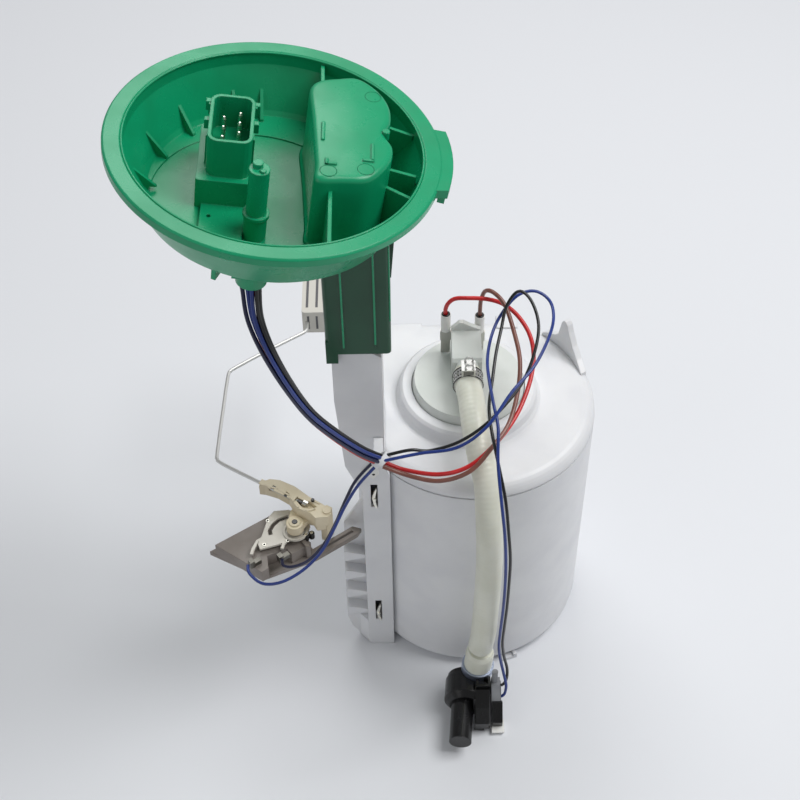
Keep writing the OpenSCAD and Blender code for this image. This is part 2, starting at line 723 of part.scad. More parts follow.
module pump_impeller() {
    blades = 24;
    at_cap() color("black") difference() {
        tube(14.5, shaft_r, 47.5, 51.5);
        for (i = [0:blades - 1]) rotate(360 * i / blades)
            translate([12.4, -0.6, 46]) cube([3, 1.2, 8]);
    }
}

// End bell with the upper bearing, and the neck that leads the fuel up to the cap
module pump_head() {
    at_cap() color("lightgray") difference() {
        union() {
            translate([0, 0, can_top - 8]) cylinder(r = can_r - 1.3, h = 8.1);
            translate([0, 0, can_top + 0.1]) cylinder(r = can_r, h = 2);
            translate([-1, 10, can_top]) cylinder(r = 5, h = ring_z - 6.2 - can_top);
        }
        translate([0, 0, can_top - 9]) cylinder(r = shaft_r + 0.05, h = 6.5);
        translate([-1, 10, can_top - 4]) cylinder(r = 3, h = 40);
    }
}

module pump_inlet() {
    at_cap() color("lightgray") difference() {
        union() {
            translate([0, 0, 40]) cylinder(r = can_r, h = 11.9);
            translate([9, 0, 25]) cylinder(r = 5, h = 16);
        }
        translate([0, 0, 47]) cylinder(r = 15, h = 6);
        translate([0, 0, 45.5]) cylinder(r = shaft_r + 0.05, h = 6);
        translate([9, 0, 24]) cylinder(r = 3.2, h = 24);
    }
}

module inlet_strainer() {
    at_cap() color("ivory") translate([9, 0, 0]) difference() {
        union() {
            translate([-24, -15, 8]) linear_extrude(12)
                polygon(rounded([[0, 0], [34, 0], [34, 30], [0, 30]], 6));
            translate([0, 0, 19]) cylinder(r = 8, h = 10.8);
        }
        translate([0, 0, 24]) cylinder(r = 5.1, h = 10);
    }
}

// Rubber-lined carrier that holds the pump's can under the cap
module pump_mount() {
    at_cap() color("gray") {
        tube(can_r + 3.2, can_r + 0.1, can_top - 22, can_top - 8);
        tube(can_r + 3.2, can_r - 3, can_top + 2.3, can_top + 6);
        for (a = [0:120:240]) rotate(a)
            translate([can_r + 2, -4, can_top - 22]) cube([2, 8, ring_z + 16 - can_top]);
    }
}

module check_valve() {
    color("dimgray") translate([valve_at[0], valve_at[1], 0]) {
        translate([0, 0, pot_wall + 0.05]) cylinder(r = 11, h = 1);
        translate([0, 0, 0.3]) cylinder(r = stem_r, h = pot_wall);
        translate([0, 0, pot_wall + 1]) cylinder(r = 2.6, h = 1.5);
    }
}

// Small jet that keeps the pot full
module jet_nozzle() {
    color("black") translate([-30, 26, pot_wall + 6.6]) {
        rotate([0, 0, 40]) rotate([90, 0, 0]) translate([0, 0, -12]) difference() {
            cylinder(r = 4.5, h = 24);
            translate([0, 0, -1]) cylinder(r = 2.2, h = 30);
        }
        translate([-6, -6, -6.5]) cube([12, 12, 3.2]);
    }
}

module terminal_blades() {
    color("silver") {
        for (s = [0, 1]) translate([plug_x[s], plug_y[s], cap_z + 0.1]) {
            translate([-2.4, -0.4, 0]) cube([4.8, 0.8, plug_z[s] - 0.1]);
            translate([-2.8, -1.3, plug_z[s] - 6.5]) cube([5.6, 2.6, 6.3]);
        }
    }
}

module terminal_sleeves() {
    color("snow") for (s = [0, 1])
        translate([plug_x[s], plug_y[s], cap_z + plug_z[s] + 0.1]) difference() {
            cylinder(r = 2.5, h = 11);
            translate([0, 0, 7]) cylinder(r = pump_wire_d / 2 + 0.2, h = 5);
        }
}

// Perforated band with its ear
module hose_clamp() {
    band_in = hose_d / 2 + 0.1;
    holes = 16;
    color("silver") translate([nipple_x, -12, outlet_z]) rotate([90, 0, 0]) {
        difference() {
            tube(band_in + 0.7, band_in, -3.5, 3.5);
            for (i = [0:holes - 1]) rotate(360 * i / holes)
                translate([band_in - 1, 0, 0]) rotate([0, 90, 0]) cylinder(r = 0.7, h = 3);
        }
        difference() {
            translate([-3.4, band_in + 0.2, -3.5]) cube([6.8, 4.4, 7]);
            translate([-2.5, band_in + 0.9, -4]) cube([5, 2.9, 8]);
        }
    }
}

module tray_plate() {
    prism([[-57, 5.5], [-30, 0], [-4, 0], [-0.6, 1.6], [-3.4, 5.6], [-28, 5.6], [-30, 33], [-71.7, 35.6]],
        tray_z - plate_t, tray_z);
}

module sender_tray() {
    color("rosybrown") on_tray() difference() {
        union() {
            tray_plate();
            prism([[-69.8, 32], [-59.6, 3.6], [-29.6, 4.4], [-33.5, 31.2]], tray_z - eps, block_z);
            // Rails beside the card
            prism([[-33.6, 2.5], [-31.6, 1.5], [-30.4, 26], [-32.4, 27]], tray_z, block_z + 1.4);
        }
        // Recess at the front edge
        prism([[-56.5, 2], [-41.5, 2], [-41.5, 8.5], [-52, 10.5]], tray_z, block_z + 1);
        // Slot along the tongue
        prism([[-26, 2.2], [-5, 2.2], [-5, 3.6], [-26, 3.6]], tray_z - plate_t - 1, tray_z + 1);
        // Hole for the pivot pin
        translate([-33, 13, tray_z - 1]) cylinder(r = 1.6, h = 20);
    }
}

// Resistor card: a flat plate with a curved slot, a ring round the pin, and two legs
module sender_card() {
    color("lightgray") translate([0, 0, block_z + 2]) difference() {
        union() {
            prism([[-104.5, -41.3], [-107, -45], [-108.4, -50.2], [-110.3, -58.3],
                [-111.7, -61.9], [-110.5, -65.5], [-101, -62.5], [-94.7, -59.6], [-87, -58],
                [-85.4, -51], [-91, -45], [-96.6, -40.6]], 0, 1.2);
            prism([[-108.6, -58.4], [-111.4, -60.6], [-113.2, -65.3], [-113.8, -68.6],
                [-115.4, -68.2], [-114.8, -64.7], [-112.6, -59.6], [-109.6, -57.4]], 0, 1.2);
            prism([[-95.4, -59], [-97.8, -62.2], [-98.6, -65.4], [-100.2, -65], [-99.2, -61.4],
                [-96.6, -57.6]], 0, 1.2);
            translate([pivot[0], pivot[1], 0]) tube(6.6, 5.2, 1, 2);
        }
        prism([[-106.4, -56.8], [-104.4, -56.2], [-105, -53.7], [-103.4, -50.6], [-101, -48],
            [-96.6, -46.1], [-97.1, -43.9], [-102.3, -46.3], [-105.4, -49.5], [-107, -53.5]], -1, 4);
        translate([pivot[0], pivot[1], -1]) cylinder(r = 3.2, h = 5);
    }
}

module sender_contacts() {
    color("goldenrod") on_tray() {
        for (p = [[-60.5, 8.4], [-47, 2.8]]) translate([p[0], p[1], block_z + 0.1]) {
            cube([4, 2.6, 2.6]);
            translate([-2.3, -0.2, 0]) cube([2.4, 3, 4.6]);
        }
    }
}

module pivot_pin() {
    color("silver") translate([pivot[0], pivot[1], tray_z]) {
        cylinder(r = 1.5, h = block_h + 10.4);
        translate([0, 0, block_h + 9.4]) cylinder(r = 2.4, h = 1);
    }
}

// Beige holder that turns on the pin and grips the float wire
module sender_lever() {
    bar_z = block_z + 6.2;
    bar_top = bar_z + 9.5;
    color("wheat") difference() {
        union() {
            translate([pivot[0], pivot[1], 0]) tube(4.4, 1.56, block_z + 5, bar_z + 3);
            prism([[-96.6, -55.4], [-95.4, -46], [-90, -40], [-84, -44], [-86, -52], [-89, -56.4]],
                bar_z, bar_z + 3);
            prism([[-111.5, -34.4], [-108.6, -34.9], [-102, -37.5], [-96, -41.8], [-91.2, -50],
                [-84.7, -52.6], [-82.1, -55.8], [-75.7, -55.2], [-74.1, -53.2], [-74.5, -50.4],
                [-78.4, -47.1], [-85.6, -42], [-93, -35.3], [-100.9, -30.9], [-106.2, -30.1],
                [-108.8, -31.2]], bar_z + 2.5, bar_top);
            prism([[-91.9, -49.4], [-87.3, -51.4], [-83.4, -52.3], [-81.6, -55.6], [-77, -54.8],
                [-76.3, -49.2], [-85.6, -42.6], [-92.6, -43]], bar_z - 1.4, bar_z + 3);
            // Leg beside the tray
            translate([-77.6, -50.5, tray_z + 1.2]) rotate(60)
                translate([-2.8, -2.6, 0]) cube([6, 3.6, bar_top - tray_z - 1.5]);
        }
        translate([pivot[0], pivot[1], block_z]) cylinder(r = 1.56, h = 30);
        translate([pivot[0], pivot[1], bar_z + 3]) cylinder(r = 2.8, h = 30);
        // Groove for the wire
        prism([[-84.4, -46.8], [-112.4, -29.3], [-113.6, -31.2], [-85.6, -48.7]],
            bar_top - wire_d - 0.4, bar_top + 1);
        // Pocket at the right end
        prism([[-92.6, -43.6], [-88.8, -49], [-84.4, -50.2], [-81.4, -48.6], [-84.9, -45.3]],
            bar_top - 2.2, bar_top + 1);
    }
}

module float_wire() {
    z = block_z + 6.2 + 9.5 - wire_d / 2 - 0.3;
    color("silver") cord([
        [-87, -46.5, z], [-99, -39, z], [-111, -31.5, z], [-131.5, -18.4, z], [-134.2, -15, z],
        [-134.6, -10.6, z], [-133.4, 22, z], [-132.4, 44, z], [-131.2, 47.6, z],
        [-128.4, 50.2, z], [-112, 62.4, z], [-95, 74, z], [-91, 77, z], [-90, 80, z],
        [-90, 84, z], [-90, 92, z], [-90, 110, z]
    ], wire_d, 8, 2);
}

module sender_float() {
    z = block_z + 6.2 + 9.5 - wire_d / 2 - 0.3;
    x0 = -93;
    y0 = 84;
    color("darkgray") difference() {
        translate([0, 0, z - float_h / 2]) linear_extrude(float_h) polygon(rounded([
            [x0, y0], [x0 + float_w, y0], [x0 + float_w, y0 + float_l], [x0, y0 + float_l]
        ], 2));
        translate([-90, y0 + float_l, z]) rotate([90, 0, 0]) cylinder(r = wire_d / 2 + 0.05, h = 100);
    }
}

module cable_tie() {
    color("white") {
        translate([-48, -62.4, 182.6]) rotate([0, 128, -32]) difference() {
            cylinder(r = bundle_d / 2 + 1.5, h = 3.4, center = true);
            cylinder(r = bundle_d / 2 + 0.5, h = 5, center = true);
        }
        // Foot that clips to the column
        translate([-51.5, -59.4, 178.6]) cube([4.5, guide_front - 0.3 + 59.4, 3]);
    }
}

module wire_bundle() {
    color("midnightblue") cord(bundle_path, bundle_d, 8, 2);
}

module wire_red() {
    color("red") cord(red_path, pump_wire_d);
}

module wire_brown() {
    color("saddlebrown") cord(brown_path, pump_wire_d);
}

module wire_black() {
    color("black") cord(black_path, signal_wire_d);
}

module wire_blue() {
    color("royalblue") cord(blue_path, signal_wire_d);
}

module sender_wire_near() {
    color("navy") cord(sender_near_path, signal_wire_d);
}

module sender_wire_far() {
    color("navy") cord(sender_far_path, signal_wire_d);
}

module fuel_hose() {
    color("ivory") cord(hose_path, hose_d, 12, 2);
}

module at_cuff() {
    translate([2.5, -79, 41.8]) rotate([0, 4, 0]) children();
}

module hose_cuff() {
    color("ivory") at_cuff() translate([0, 0, -14]) {
        cylinder(r = 7.6, h = 11);
        translate([0, 0, 11 - eps]) cylinder(r1 = 7.6, r2 = hose_d / 2, h = 3);
    }
}

module hose_ring() {
    color("lightsteelblue") at_cuff() translate([0, 0, -19.1]) cylinder(r = 8.7, h = 5);
}

// Elbow of the quick coupling, which lies on the ground
module at_coupling() {
    translate([-4, -81, coupling_r]) rotate([90, 0, -5.3]) children();
}

module coupling_body() {
    color("#181818") {
        at_cuff() translate([0, 0, -24]) cylinder(r = 7.8, h = 4.8);
        difference() {
            union() {
                at_coupling() {
                    cylinder(r = coupling_r, h = 12);
                    translate([0, 0, 12 - eps]) cylinder(r1 = coupling_r, r2 = coupling_r - 3, h = 3);
                    translate([0, 0, -3]) cylinder(r = coupling_r - 1, h = 3.1);
                }
                translate([0, -92, 4]) cube([7.9, 6, 22]);
            }
            // Seat of the metal ring, and the square socket
            at_cuff() translate([0, 0, -19.2]) cylinder(r = 8.8, h = 20);
            translate([1.4, -90.8, 18]) cube([5, 3.6, 9]);
        }
        at_coupling() translate([-2, 0, 14]) cylinder(r = spigot_tube_r, h = 23);
    }
}

// Wedge that releases the coupling
module coupling_latch() {
    color("#181818") at_coupling() translate([4.9, 0, 0]) rotate([0, 90, 0]) linear_extrude(5.6)
        polygon([[-15.1, -11], [-23, -11], [-23, -4], [-15.1, 6]]);
}

module coupling_sensor() {
    color("gray") {
        translate([8.3, 0, 0]) rotate([90, 0, 90]) linear_extrude(4.7)
            polygon([[-86, 4], [-86, 25], [-91, 24], [-103, 7.4], [-101, 3]]);
        translate([10.1, -87.9, 24]) cylinder(r = 1.6, h = 9.6);
    }
}

flange_bowl();
spring_housing();
connector_shroud();
vent_post();
connector_pins();
wire_grommet();
guide_sleeve();
return_spring();
guide_post();
swirl_pot();
pot_cover();
pump_cap();
pump_can();
pump_magnets();
pump_armature();
pump_shaft();
pump_impeller();
pump_head();
pump_inlet();
inlet_strainer();
pump_mount();
check_valve();
jet_nozzle();
terminal_blades();
terminal_sleeves();
hose_clamp();
sender_tray();
sender_card();
sender_contacts();
pivot_pin();
sender_lever();
float_wire();
sender_float();
cable_tie();
wire_bundle();
wire_red();
wire_brown();
wire_black();
wire_blue();
sender_wire_near();
sender_wire_far();
fuel_hose();
hose_cuff();
hose_ring();
coupling_body();
coupling_latch();
coupling_sensor();
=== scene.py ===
"""Studio scene of an in-tank fuel pump module.

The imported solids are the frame. This script dresses them: each surface gets a procedural
finish, each cord is swept at its real length, and the fine relief that the solids leave out
is modelled on them. Sizes are in millimetres in the row frame until a mesh is made.
"""
import logging
import math
from dataclasses import dataclass, field
from enum import Enum
from typing import Sequence

import bmesh
import bpy
from mathutils import Matrix, Vector


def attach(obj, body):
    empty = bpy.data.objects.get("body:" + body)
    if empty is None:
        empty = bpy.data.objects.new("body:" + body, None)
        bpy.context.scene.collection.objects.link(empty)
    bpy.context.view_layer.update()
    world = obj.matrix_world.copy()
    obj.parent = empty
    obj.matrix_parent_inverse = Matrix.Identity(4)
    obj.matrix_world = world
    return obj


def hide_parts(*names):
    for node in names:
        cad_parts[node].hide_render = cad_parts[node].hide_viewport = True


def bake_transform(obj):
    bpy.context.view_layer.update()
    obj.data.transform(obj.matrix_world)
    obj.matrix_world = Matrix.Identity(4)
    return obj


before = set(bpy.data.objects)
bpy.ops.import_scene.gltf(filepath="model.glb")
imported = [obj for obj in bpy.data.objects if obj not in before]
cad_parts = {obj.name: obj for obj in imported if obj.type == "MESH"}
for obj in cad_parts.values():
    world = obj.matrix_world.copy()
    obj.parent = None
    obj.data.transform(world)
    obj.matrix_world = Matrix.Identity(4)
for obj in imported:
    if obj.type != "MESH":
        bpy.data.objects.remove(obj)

LOG = logging.getLogger("fuel_pump_scene")
MM = 0.001
ROUTE_STEPS = 6
FLANGE_AT = (-88, -25.5, 343.6)
FLANGE_LEAN = 8.6
UP = (0, 0, 1)
ALONG_NIPPLE = (0, 1, 0)
Point = tuple[float, float, float]
Plan = tuple[float, float]
Colour = tuple[float, float, float]
# A bar's ends, its width, and its foot and head as heights from a level
Bar = tuple[Plan, Plan, float, float, float]
# A disc's middle, its radius, its foot and head as heights from a level, and its sides
Disc = tuple[Plan, float, float, float, int]


class Body(Enum):
    """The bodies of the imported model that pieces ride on."""

    POT = "pot"
    FLANGE = "flange"
    ARM = "arm"


def from_screen(red: int, green: int, blue: int) -> Colour:
    """Turn a colour as a screen shows it into the linear values that a shader takes.

    Args:
        red: Red, from 0 to 255.
        green: Green, from 0 to 255.
        blue: Blue, from 0 to 255.

    Returns:
        The three linear values.
    """

    def linear(value: int) -> float:
        """Undo the screen's curve for one channel."""
        share = value / 255
        return share / 12.92 if share <= 0.04045 else ((share + 0.055) / 1.055) ** 2.4

    return linear(red), linear(green), linear(blue)


# Node trees


class NodeSheet:
    """A small helper that adds and links nodes in one tree."""

    def __init__(self, tree: bpy.types.NodeTree) -> None:
        """Keep the tree that the nodes go into."""
        self.tree = tree

    def add(self, kind: str, **settings: object) -> bpy.types.Node:
        """Add a node and set its properties.

        Args:
            kind: The node's type, such as ShaderNodeTexNoise.
            **settings: Property names and values.

        Returns:
            The new node.
        """
        node = self.tree.nodes.new(kind)
        for name, value in settings.items():
            setattr(node, name, value)
        return node

    def link(self, source: object, target: bpy.types.NodeSocket) -> None:
        """Feed a socket from another socket, a linear colour or a number."""
        if isinstance(source, bpy.types.NodeSocket):
            self.tree.links.new(source, target)
        elif isinstance(source, tuple):
            target.default_value = (*source, 1.0)
        else:
            target.default_value = source

    def math(self, operation: str, *values: object) -> bpy.types.NodeSocket:
        """Add a Math node whose inputs are sockets or numbers.

        Args:
            operation: The node's operation, such as MULTIPLY.
            *values: Its inputs in order.

        Returns:
            The node's output socket.
        """
        node = self.add("ShaderNodeMath", operation=operation)
        for value, socket in zip(values, node.inputs):
            self.link(value, socket)
        return node.outputs[0]

    def ramp(self, source: bpy.types.NodeSocket, low: float, high: float) -> bpy.types.NodeSocket:
        """Map a value to 0 at low and 1 at high, held between them.

        Args:
            source: The value's socket.
            low: The value that becomes 0.
            high: The value that becomes 1.

        Returns:
            The mapped value's socket.
        """
        node = self.add("ShaderNodeMapRange", clamp=True, interpolation_type="SMOOTHSTEP")
        self.link(source, node.inputs["Value"])
        self.link(low, node.inputs["From Min"])
        self.link(high, node.inputs["From Max"])
        return node.outputs["Result"]

    def mix(self, factor: object, first: object, second: object) -> bpy.types.NodeSocket:
        """Mix two colours, each a socket or a linear colour.

        Args:
            factor: The share of the second colour, a socket or a number.
            first: The colour at 0.
            second: The colour at 1.

        Returns:
            The mixed colour's socket.
        """
        node = self.add("ShaderNodeMix", data_type="RGBA")
        for index, value in ((0, factor), (6, first), (7, second)):
            self.link(value, node.inputs[index])
        return node.outputs[2]

    def place(self) -> bpy.types.NodeSocket:
        """Return the object's own coordinates."""
        return self.add("ShaderNodeTexCoord").outputs["Object"]

    def noise(self, place: bpy.types.NodeSocket, scale: object, detail: float,
              distortion: float = 0.0) -> bpy.types.NodeSocket:
        """Add a noise texture.

        Args:
            place: The coordinates.
            scale: Its scale, a socket or a number.
            detail: How many finer layers it has.
            distortion: How far it is bent.

        Returns:
            The noise's value, from 0 to 1.
        """
        node = self.add("ShaderNodeTexNoise")
        for label, value in (("Vector", place), ("Scale", scale), ("Detail", detail),
                             ("Distortion", distortion)):
            self.link(value, node.inputs[label])
        return node.outputs["Fac"]

    def bump(self, height: bpy.types.NodeSocket, strength: object, distance: float,
             normal: bpy.types.NodeSocket | None = None) -> bpy.types.NodeSocket:
        """Add relief.

        Args:
            height: The relief's height.
            strength: Its strength, a socket or a number.
            distance: Its depth in metres.
            normal: The normal under it.

        Returns:
            The new normal.
        """
        node = self.add("ShaderNodeBump")
        for label, value in (("Height", height), ("Strength", strength), ("Distance", distance)):
            self.link(value, node.inputs[label])
        if normal is not None:
            self.link(normal, node.inputs["Normal"])
        return node.outputs["Normal"]

    def group(self, tree: bpy.types.NodeTree, **values: float) -> bpy.types.Node:
        """Place a shared effect and set its inputs by name."""
        node = self.add("ShaderNodeGroup", node_tree=tree)
        for label, value in values.items():
            self.link(value, node.inputs[label])
        return node


class SharedEffects:
    """Node groups that several finishes place with their own values."""

    bevel_samples = 4
    sink_scale = 60.0
    sink_depth = 0.002
    grain_depth = 0.0003
    tone_range = (0.35, 0.7)
    scuff_range = (0.62, 0.78)
    scuff_bend = 1.2

    def __init__(self) -> None:
        """Build the groups once."""
        self.moulding = self._moulding()
        self.handling = self._handling()
        self.brushing = self._brushing()

    @staticmethod
    def _start(name: str, inputs: dict[str, float],
               outputs: dict[str, str]) -> tuple[NodeSheet, bpy.types.Node, bpy.types.Node]:
        """Start a group with float inputs and named outputs.

        Args:
            name: The group's name.
            inputs: Each input's name and default.
            outputs: Each output's name and socket type.

        Returns:
            The sheet, the group's input node and its output node.
        """
        tree = bpy.data.node_groups.new(name, "ShaderNodeTree")
        for label, value in inputs.items():
            tree.interface.new_socket(
                label, in_out="INPUT", socket_type="NodeSocketFloat").default_value = value
        for label, kind in outputs.items():
            tree.interface.new_socket(label, in_out="OUTPUT", socket_type=kind)
        sheet = NodeSheet(tree)
        return sheet, sheet.add("NodeGroupInput"), sheet.add("NodeGroupOutput")

    def _moulding(self) -> bpy.types.NodeTree:
        """Make the skin of a moulded part: rounded edges, sink marks and a fine grain."""
        sheet, start, end = self._start(
            "Moulded skin", {"Edge": 0.0006, "Grain": 900.0, "Depth": 0.2, "Sink": 0.15},
            {"Normal": "NodeSocketVector"})
        place = sheet.place()
        edge = sheet.add("ShaderNodeBevel", samples=self.bevel_samples)
        sheet.link(start.outputs["Edge"], edge.inputs["Radius"])
        grain = sheet.noise(place, start.outputs["Grain"], 2.0)
        sink = sheet.noise(place, self.sink_scale, 1.0)
        wide = sheet.bump(sink, start.outputs["Sink"], self.sink_depth, edge.outputs["Normal"])
        fine = sheet.bump(grain, start.outputs["Depth"], self.grain_depth, wide)
        sheet.link(fine, end.inputs["Normal"])
        return sheet.tree

    def _handling(self) -> bpy.types.NodeTree:
        """Make the marks of handling: soft blotches and fine scuffs, each from 0 to 1."""
        sheet, start, end = self._start(
            "Handling marks", {"Blotch": 45.0, "Scuff": 420.0},
            {"Tone": "NodeSocketFloat", "Scuffs": "NodeSocketFloat"})
        place = sheet.place()
        blotch = sheet.noise(place, start.outputs["Blotch"], 4.0)
        scuff = sheet.noise(place, start.outputs["Scuff"], 3.0, self.scuff_bend)
        sheet.link(sheet.ramp(blotch, *self.tone_range), end.inputs["Tone"])
        sheet.link(sheet.ramp(scuff, *self.scuff_range), end.inputs["Scuffs"])
        return sheet.tree

    def _brushing(self) -> bpy.types.NodeTree:
        """Make the fine drawn lines of metal, as a value from 0 to 1."""
        sheet, start, end = self._start(
            "Drawn metal", {"Scale": 300.0, "Stretch": 12.0}, {"Lines": "NodeSocketFloat"})
        size = sheet.add("ShaderNodeCombineXYZ")
        for label, value in (("X", 1.0), ("Y", 1.0), ("Z", start.outputs["Stretch"])):
            sheet.link(value, size.inputs[label])
        scaled = sheet.add("ShaderNodeVectorMath", operation="MULTIPLY")
        sheet.link(sheet.place(), scaled.inputs[0])
        sheet.link(size.outputs["Vector"], scaled.inputs[1])
        lines = sheet.noise(scaled.outputs["Vector"], start.outputs["Scale"], 3.0)
        sheet.link(lines, end.inputs["Lines"])
        return sheet.tree


# Finishes


@dataclass(frozen=True)
class Finish:
    """What every finish has: a name and a base colour."""

    name: str
    colour: Colour

    def material(self, effects: SharedEffects) -> bpy.types.Material:
        """Return the finish's material, made once for each name.

        Args:
            effects: The shared node groups.

        Returns:
            The material.
        """
        found = bpy.data.materials.get(self.name)
        if found is not None:
            return found
        made = bpy.data.materials.new(self.name)
        made.use_nodes = True
        shader = made.node_tree.nodes["Principled BSDF"]
        self.dress(NodeSheet(made.node_tree), shader, effects)
        made.diffuse_color = (*self.colour, 1.0)
        return made

    def dress(self, sheet: NodeSheet, shader: bpy.types.Node, effects: SharedEffects) -> None:
        """Set and link the shader's sockets. Each finish has its own way."""
        raise NotImplementedError


@dataclass(frozen=True)
class Plastic(Finish):
    """Moulded plastic, from waxy natural acetal to glossy black polyamide."""

    tone_spread = 0.08
    scuff_spread = 0.12
    refraction = 1.48
    glow_reach = (1.0, 0.9, 0.75)
    glow_depth = 0.003
    shade: Colour = (0.0, 0.0, 0.0)
    roughness: float = 0.4
    edge: float = 0.6
    grain: float = 0.18
    sink: float = 0.12
    glow: float = 0.0

    def dress(self, sheet: NodeSheet, shader: bpy.types.Node, effects: SharedEffects) -> None:
        """Mix two tones with handling marks, under a moulded skin."""
        marks = sheet.group(effects.handling)
        skin = sheet.group(effects.moulding, Edge=self.edge * MM, Depth=self.grain, Sink=self.sink)
        tone = sheet.mix(marks.outputs["Tone"], self.colour, self.shade)
        rough = sheet.math("MULTIPLY_ADD", marks.outputs["Tone"], self.tone_spread,
                           self.roughness - self.tone_spread / 2)
        worn = sheet.math("MULTIPLY_ADD", marks.outputs["Scuffs"], self.scuff_spread, rough)
        sheet.link(tone, shader.inputs["Base Color"])
        sheet.link(worn, shader.inputs["Roughness"])
        sheet.link(skin.outputs["Normal"], shader.inputs["Normal"])
        shader.inputs["IOR"].default_value = self.refraction
        if self.glow:
            shader.inputs["Subsurface Weight"].default_value = self.glow
            shader.inputs["Subsurface Radius"].default_value = self.glow_reach
            shader.inputs["Subsurface Scale"].default_value = self.glow_depth


@dataclass(frozen=True)
class Metal(Finish):
    """Drawn, rolled or plated metal with fine lines."""

    grime_share = 0.5
    line_relief = 0.1
    roughness: float = 0.3
    lines: float = 0.15
    dirt: Colour = (0.1, 0.09, 0.08)

    def dress(self, sheet: NodeSheet, shader: bpy.types.Node, effects: SharedEffects) -> None:
        """Give the metal its drawn lines and a trace of grime."""
        drawn = sheet.group(effects.brushing).outputs["Lines"]
        marks = sheet.group(effects.handling)
        grime = sheet.math("MULTIPLY", marks.outputs["Scuffs"], self.grime_share)
        rough = sheet.math("MULTIPLY_ADD", drawn, self.lines, self.roughness)
        sheet.link(sheet.mix(grime, self.colour, self.dirt), shader.inputs["Base Color"])
        shader.inputs["Metallic"].default_value = 1.0
        sheet.link(rough, shader.inputs["Roughness"])
        relief = sheet.bump(drawn, self.line_relief, effects.grain_depth)
        sheet.link(relief, shader.inputs["Normal"])


@dataclass(frozen=True)
class Insulation(Finish):
    """Thin-walled wire insulation: smooth, a little waxy, dulled by handling."""

    blotch = 120.0
    paler = 1.25
    least_lift = 0.004
    scuff_spread = 0.2
    coat = 0.25
    coat_roughness = 0.2
    roughness: float = 0.32

    def dress(self, sheet: NodeSheet, shader: bpy.types.Node, effects: SharedEffects) -> None:
        """Give the wire slight changes of tone along its length."""
        marks = sheet.group(effects.handling, Blotch=self.blotch)
        pale = tuple(min(1.0, c * self.paler + self.least_lift) for c in self.colour)
        tone = sheet.mix(marks.outputs["Tone"], self.colour, pale)
        rough = sheet.math("MULTIPLY_ADD", marks.outputs["Scuffs"], self.scuff_spread,
                           self.roughness)
        sheet.link(tone, shader.inputs["Base Color"])
        sheet.link(rough, shader.inputs["Roughness"])
        shader.inputs["Coat Weight"].default_value = self.coat
        shader.inputs["Coat Roughness"].default_value = self.coat_roughness


class Finishes:
    """All the finishes of the module, by name."""

    def __init__(self) -> None:
        """Define each finish from the colour that the surface shows."""
        self.effects = SharedEffects()
        self.table: dict[str, Finish] = {
            "green": Plastic("green_moulding", from_screen(14, 154, 106), from_screen(9, 145, 98),
                             roughness=0.3, edge=0.7, grain=0.06),
            # Painted shade: the guide sleeve is the flange's own green moulding, made darker for
            # the shade under the bowl
            "shaded_green": Plastic("shaded_green_moulding", from_screen(0, 72, 44),
                                  from_screen(0, 66, 40), roughness=0.32, edge=0.6, grain=0.06),
            "white": Plastic("natural_acetal", from_screen(226, 227, 229),
                             from_screen(220, 221, 224), roughness=0.42, edge=0.8, grain=0.05,
                             sink=0.06, glow=0.15),
            "cap": Plastic("cap_acetal", from_screen(216, 220, 216), from_screen(208, 213, 208),
                           roughness=0.4, edge=0.6, grain=0.06, glow=0.12),
            "bright_white": Plastic("terminal_nylon", from_screen(236, 236, 232),
                                    from_screen(226, 226, 220), roughness=0.45, edge=0.3,
                                    grain=0.05, glow=0.1),
            "hose": Plastic("hose_nylon", from_screen(222, 223, 210), from_screen(214, 215, 200),
                            roughness=0.36, edge=0.3, grain=0.06, glow=0.25),
            "beige": Plastic("lever_acetal", from_screen(230, 218, 190),
                             from_screen(222, 208, 178), roughness=0.5, edge=0.4, grain=0.12),
            "tray": Plastic("tray_nylon", from_screen(142, 134, 128), from_screen(128, 119, 112),
                            roughness=0.48, edge=0.5, grain=0.25),
            "black": Plastic("black_nylon", from_screen(10, 10, 11), from_screen(15, 15, 16),
                             roughness=0.24, edge=0.5, grain=0.08),
            "grey": Plastic("grey_nylon", from_screen(150, 152, 156), from_screen(138, 140, 144),
                            roughness=0.45, edge=0.3, grain=0.2),
            "foam": Plastic("float_foam", from_screen(128, 124, 116), from_screen(112, 108, 100),
                            roughness=0.8, edge=0.8, grain=0.7, sink=0.3),
            "rubber": Plastic("valve_rubber", from_screen(34, 34, 36), from_screen(40, 40, 42),
                              roughness=0.6, edge=0.3, grain=0.2),
            "card": Plastic("printed_card", from_screen(222, 217, 206),
                            from_screen(208, 203, 192), roughness=0.3, edge=0.6, grain=0.1),
            "steel": Metal("spring_steel", from_screen(190, 190, 186), roughness=0.26),
            "clamp": Metal("clamp_steel", from_screen(126, 128, 126), roughness=0.28, lines=0.2),
            "tin": Metal("tinned_brass", from_screen(206, 204, 198), roughness=0.3),
            "pin": Metal("tinned_pin", from_screen(232, 230, 220), roughness=0.2),
            # Painted shade: the sender's contacts take the tinned metal made darker for the shaded
            # gap they sit in
            "shaded_tin": Metal("shaded_contact_tin", from_screen(112, 110, 104), roughness=0.34),
            "ring": Metal("anodised_ring", from_screen(176, 186, 206), roughness=0.3),
            "copper": Metal("copper_winding", from_screen(190, 110, 64), roughness=0.35,
                            lines=0.4),
            "ferrite": Metal("ferrite", from_screen(74, 74, 76), roughness=0.6),
            "wire_red": Insulation("red_insulation", from_screen(190, 22, 26)),
            "wire_brown": Insulation("brown_insulation", from_screen(118, 70, 58)),
            "wire_black": Insulation("black_insulation", from_screen(8, 8, 11)),
            "wire_blue": Insulation("blue_insulation", from_screen(16, 46, 122)),
            "wire_navy": Insulation("navy_insulation", from_screen(12, 20, 58)),
        }

    def get(self, key: str) -> bpy.types.Material:
        """Return the material of the finish with that key."""
        return self.table[key].material(self.effects)


# Meshes and lines


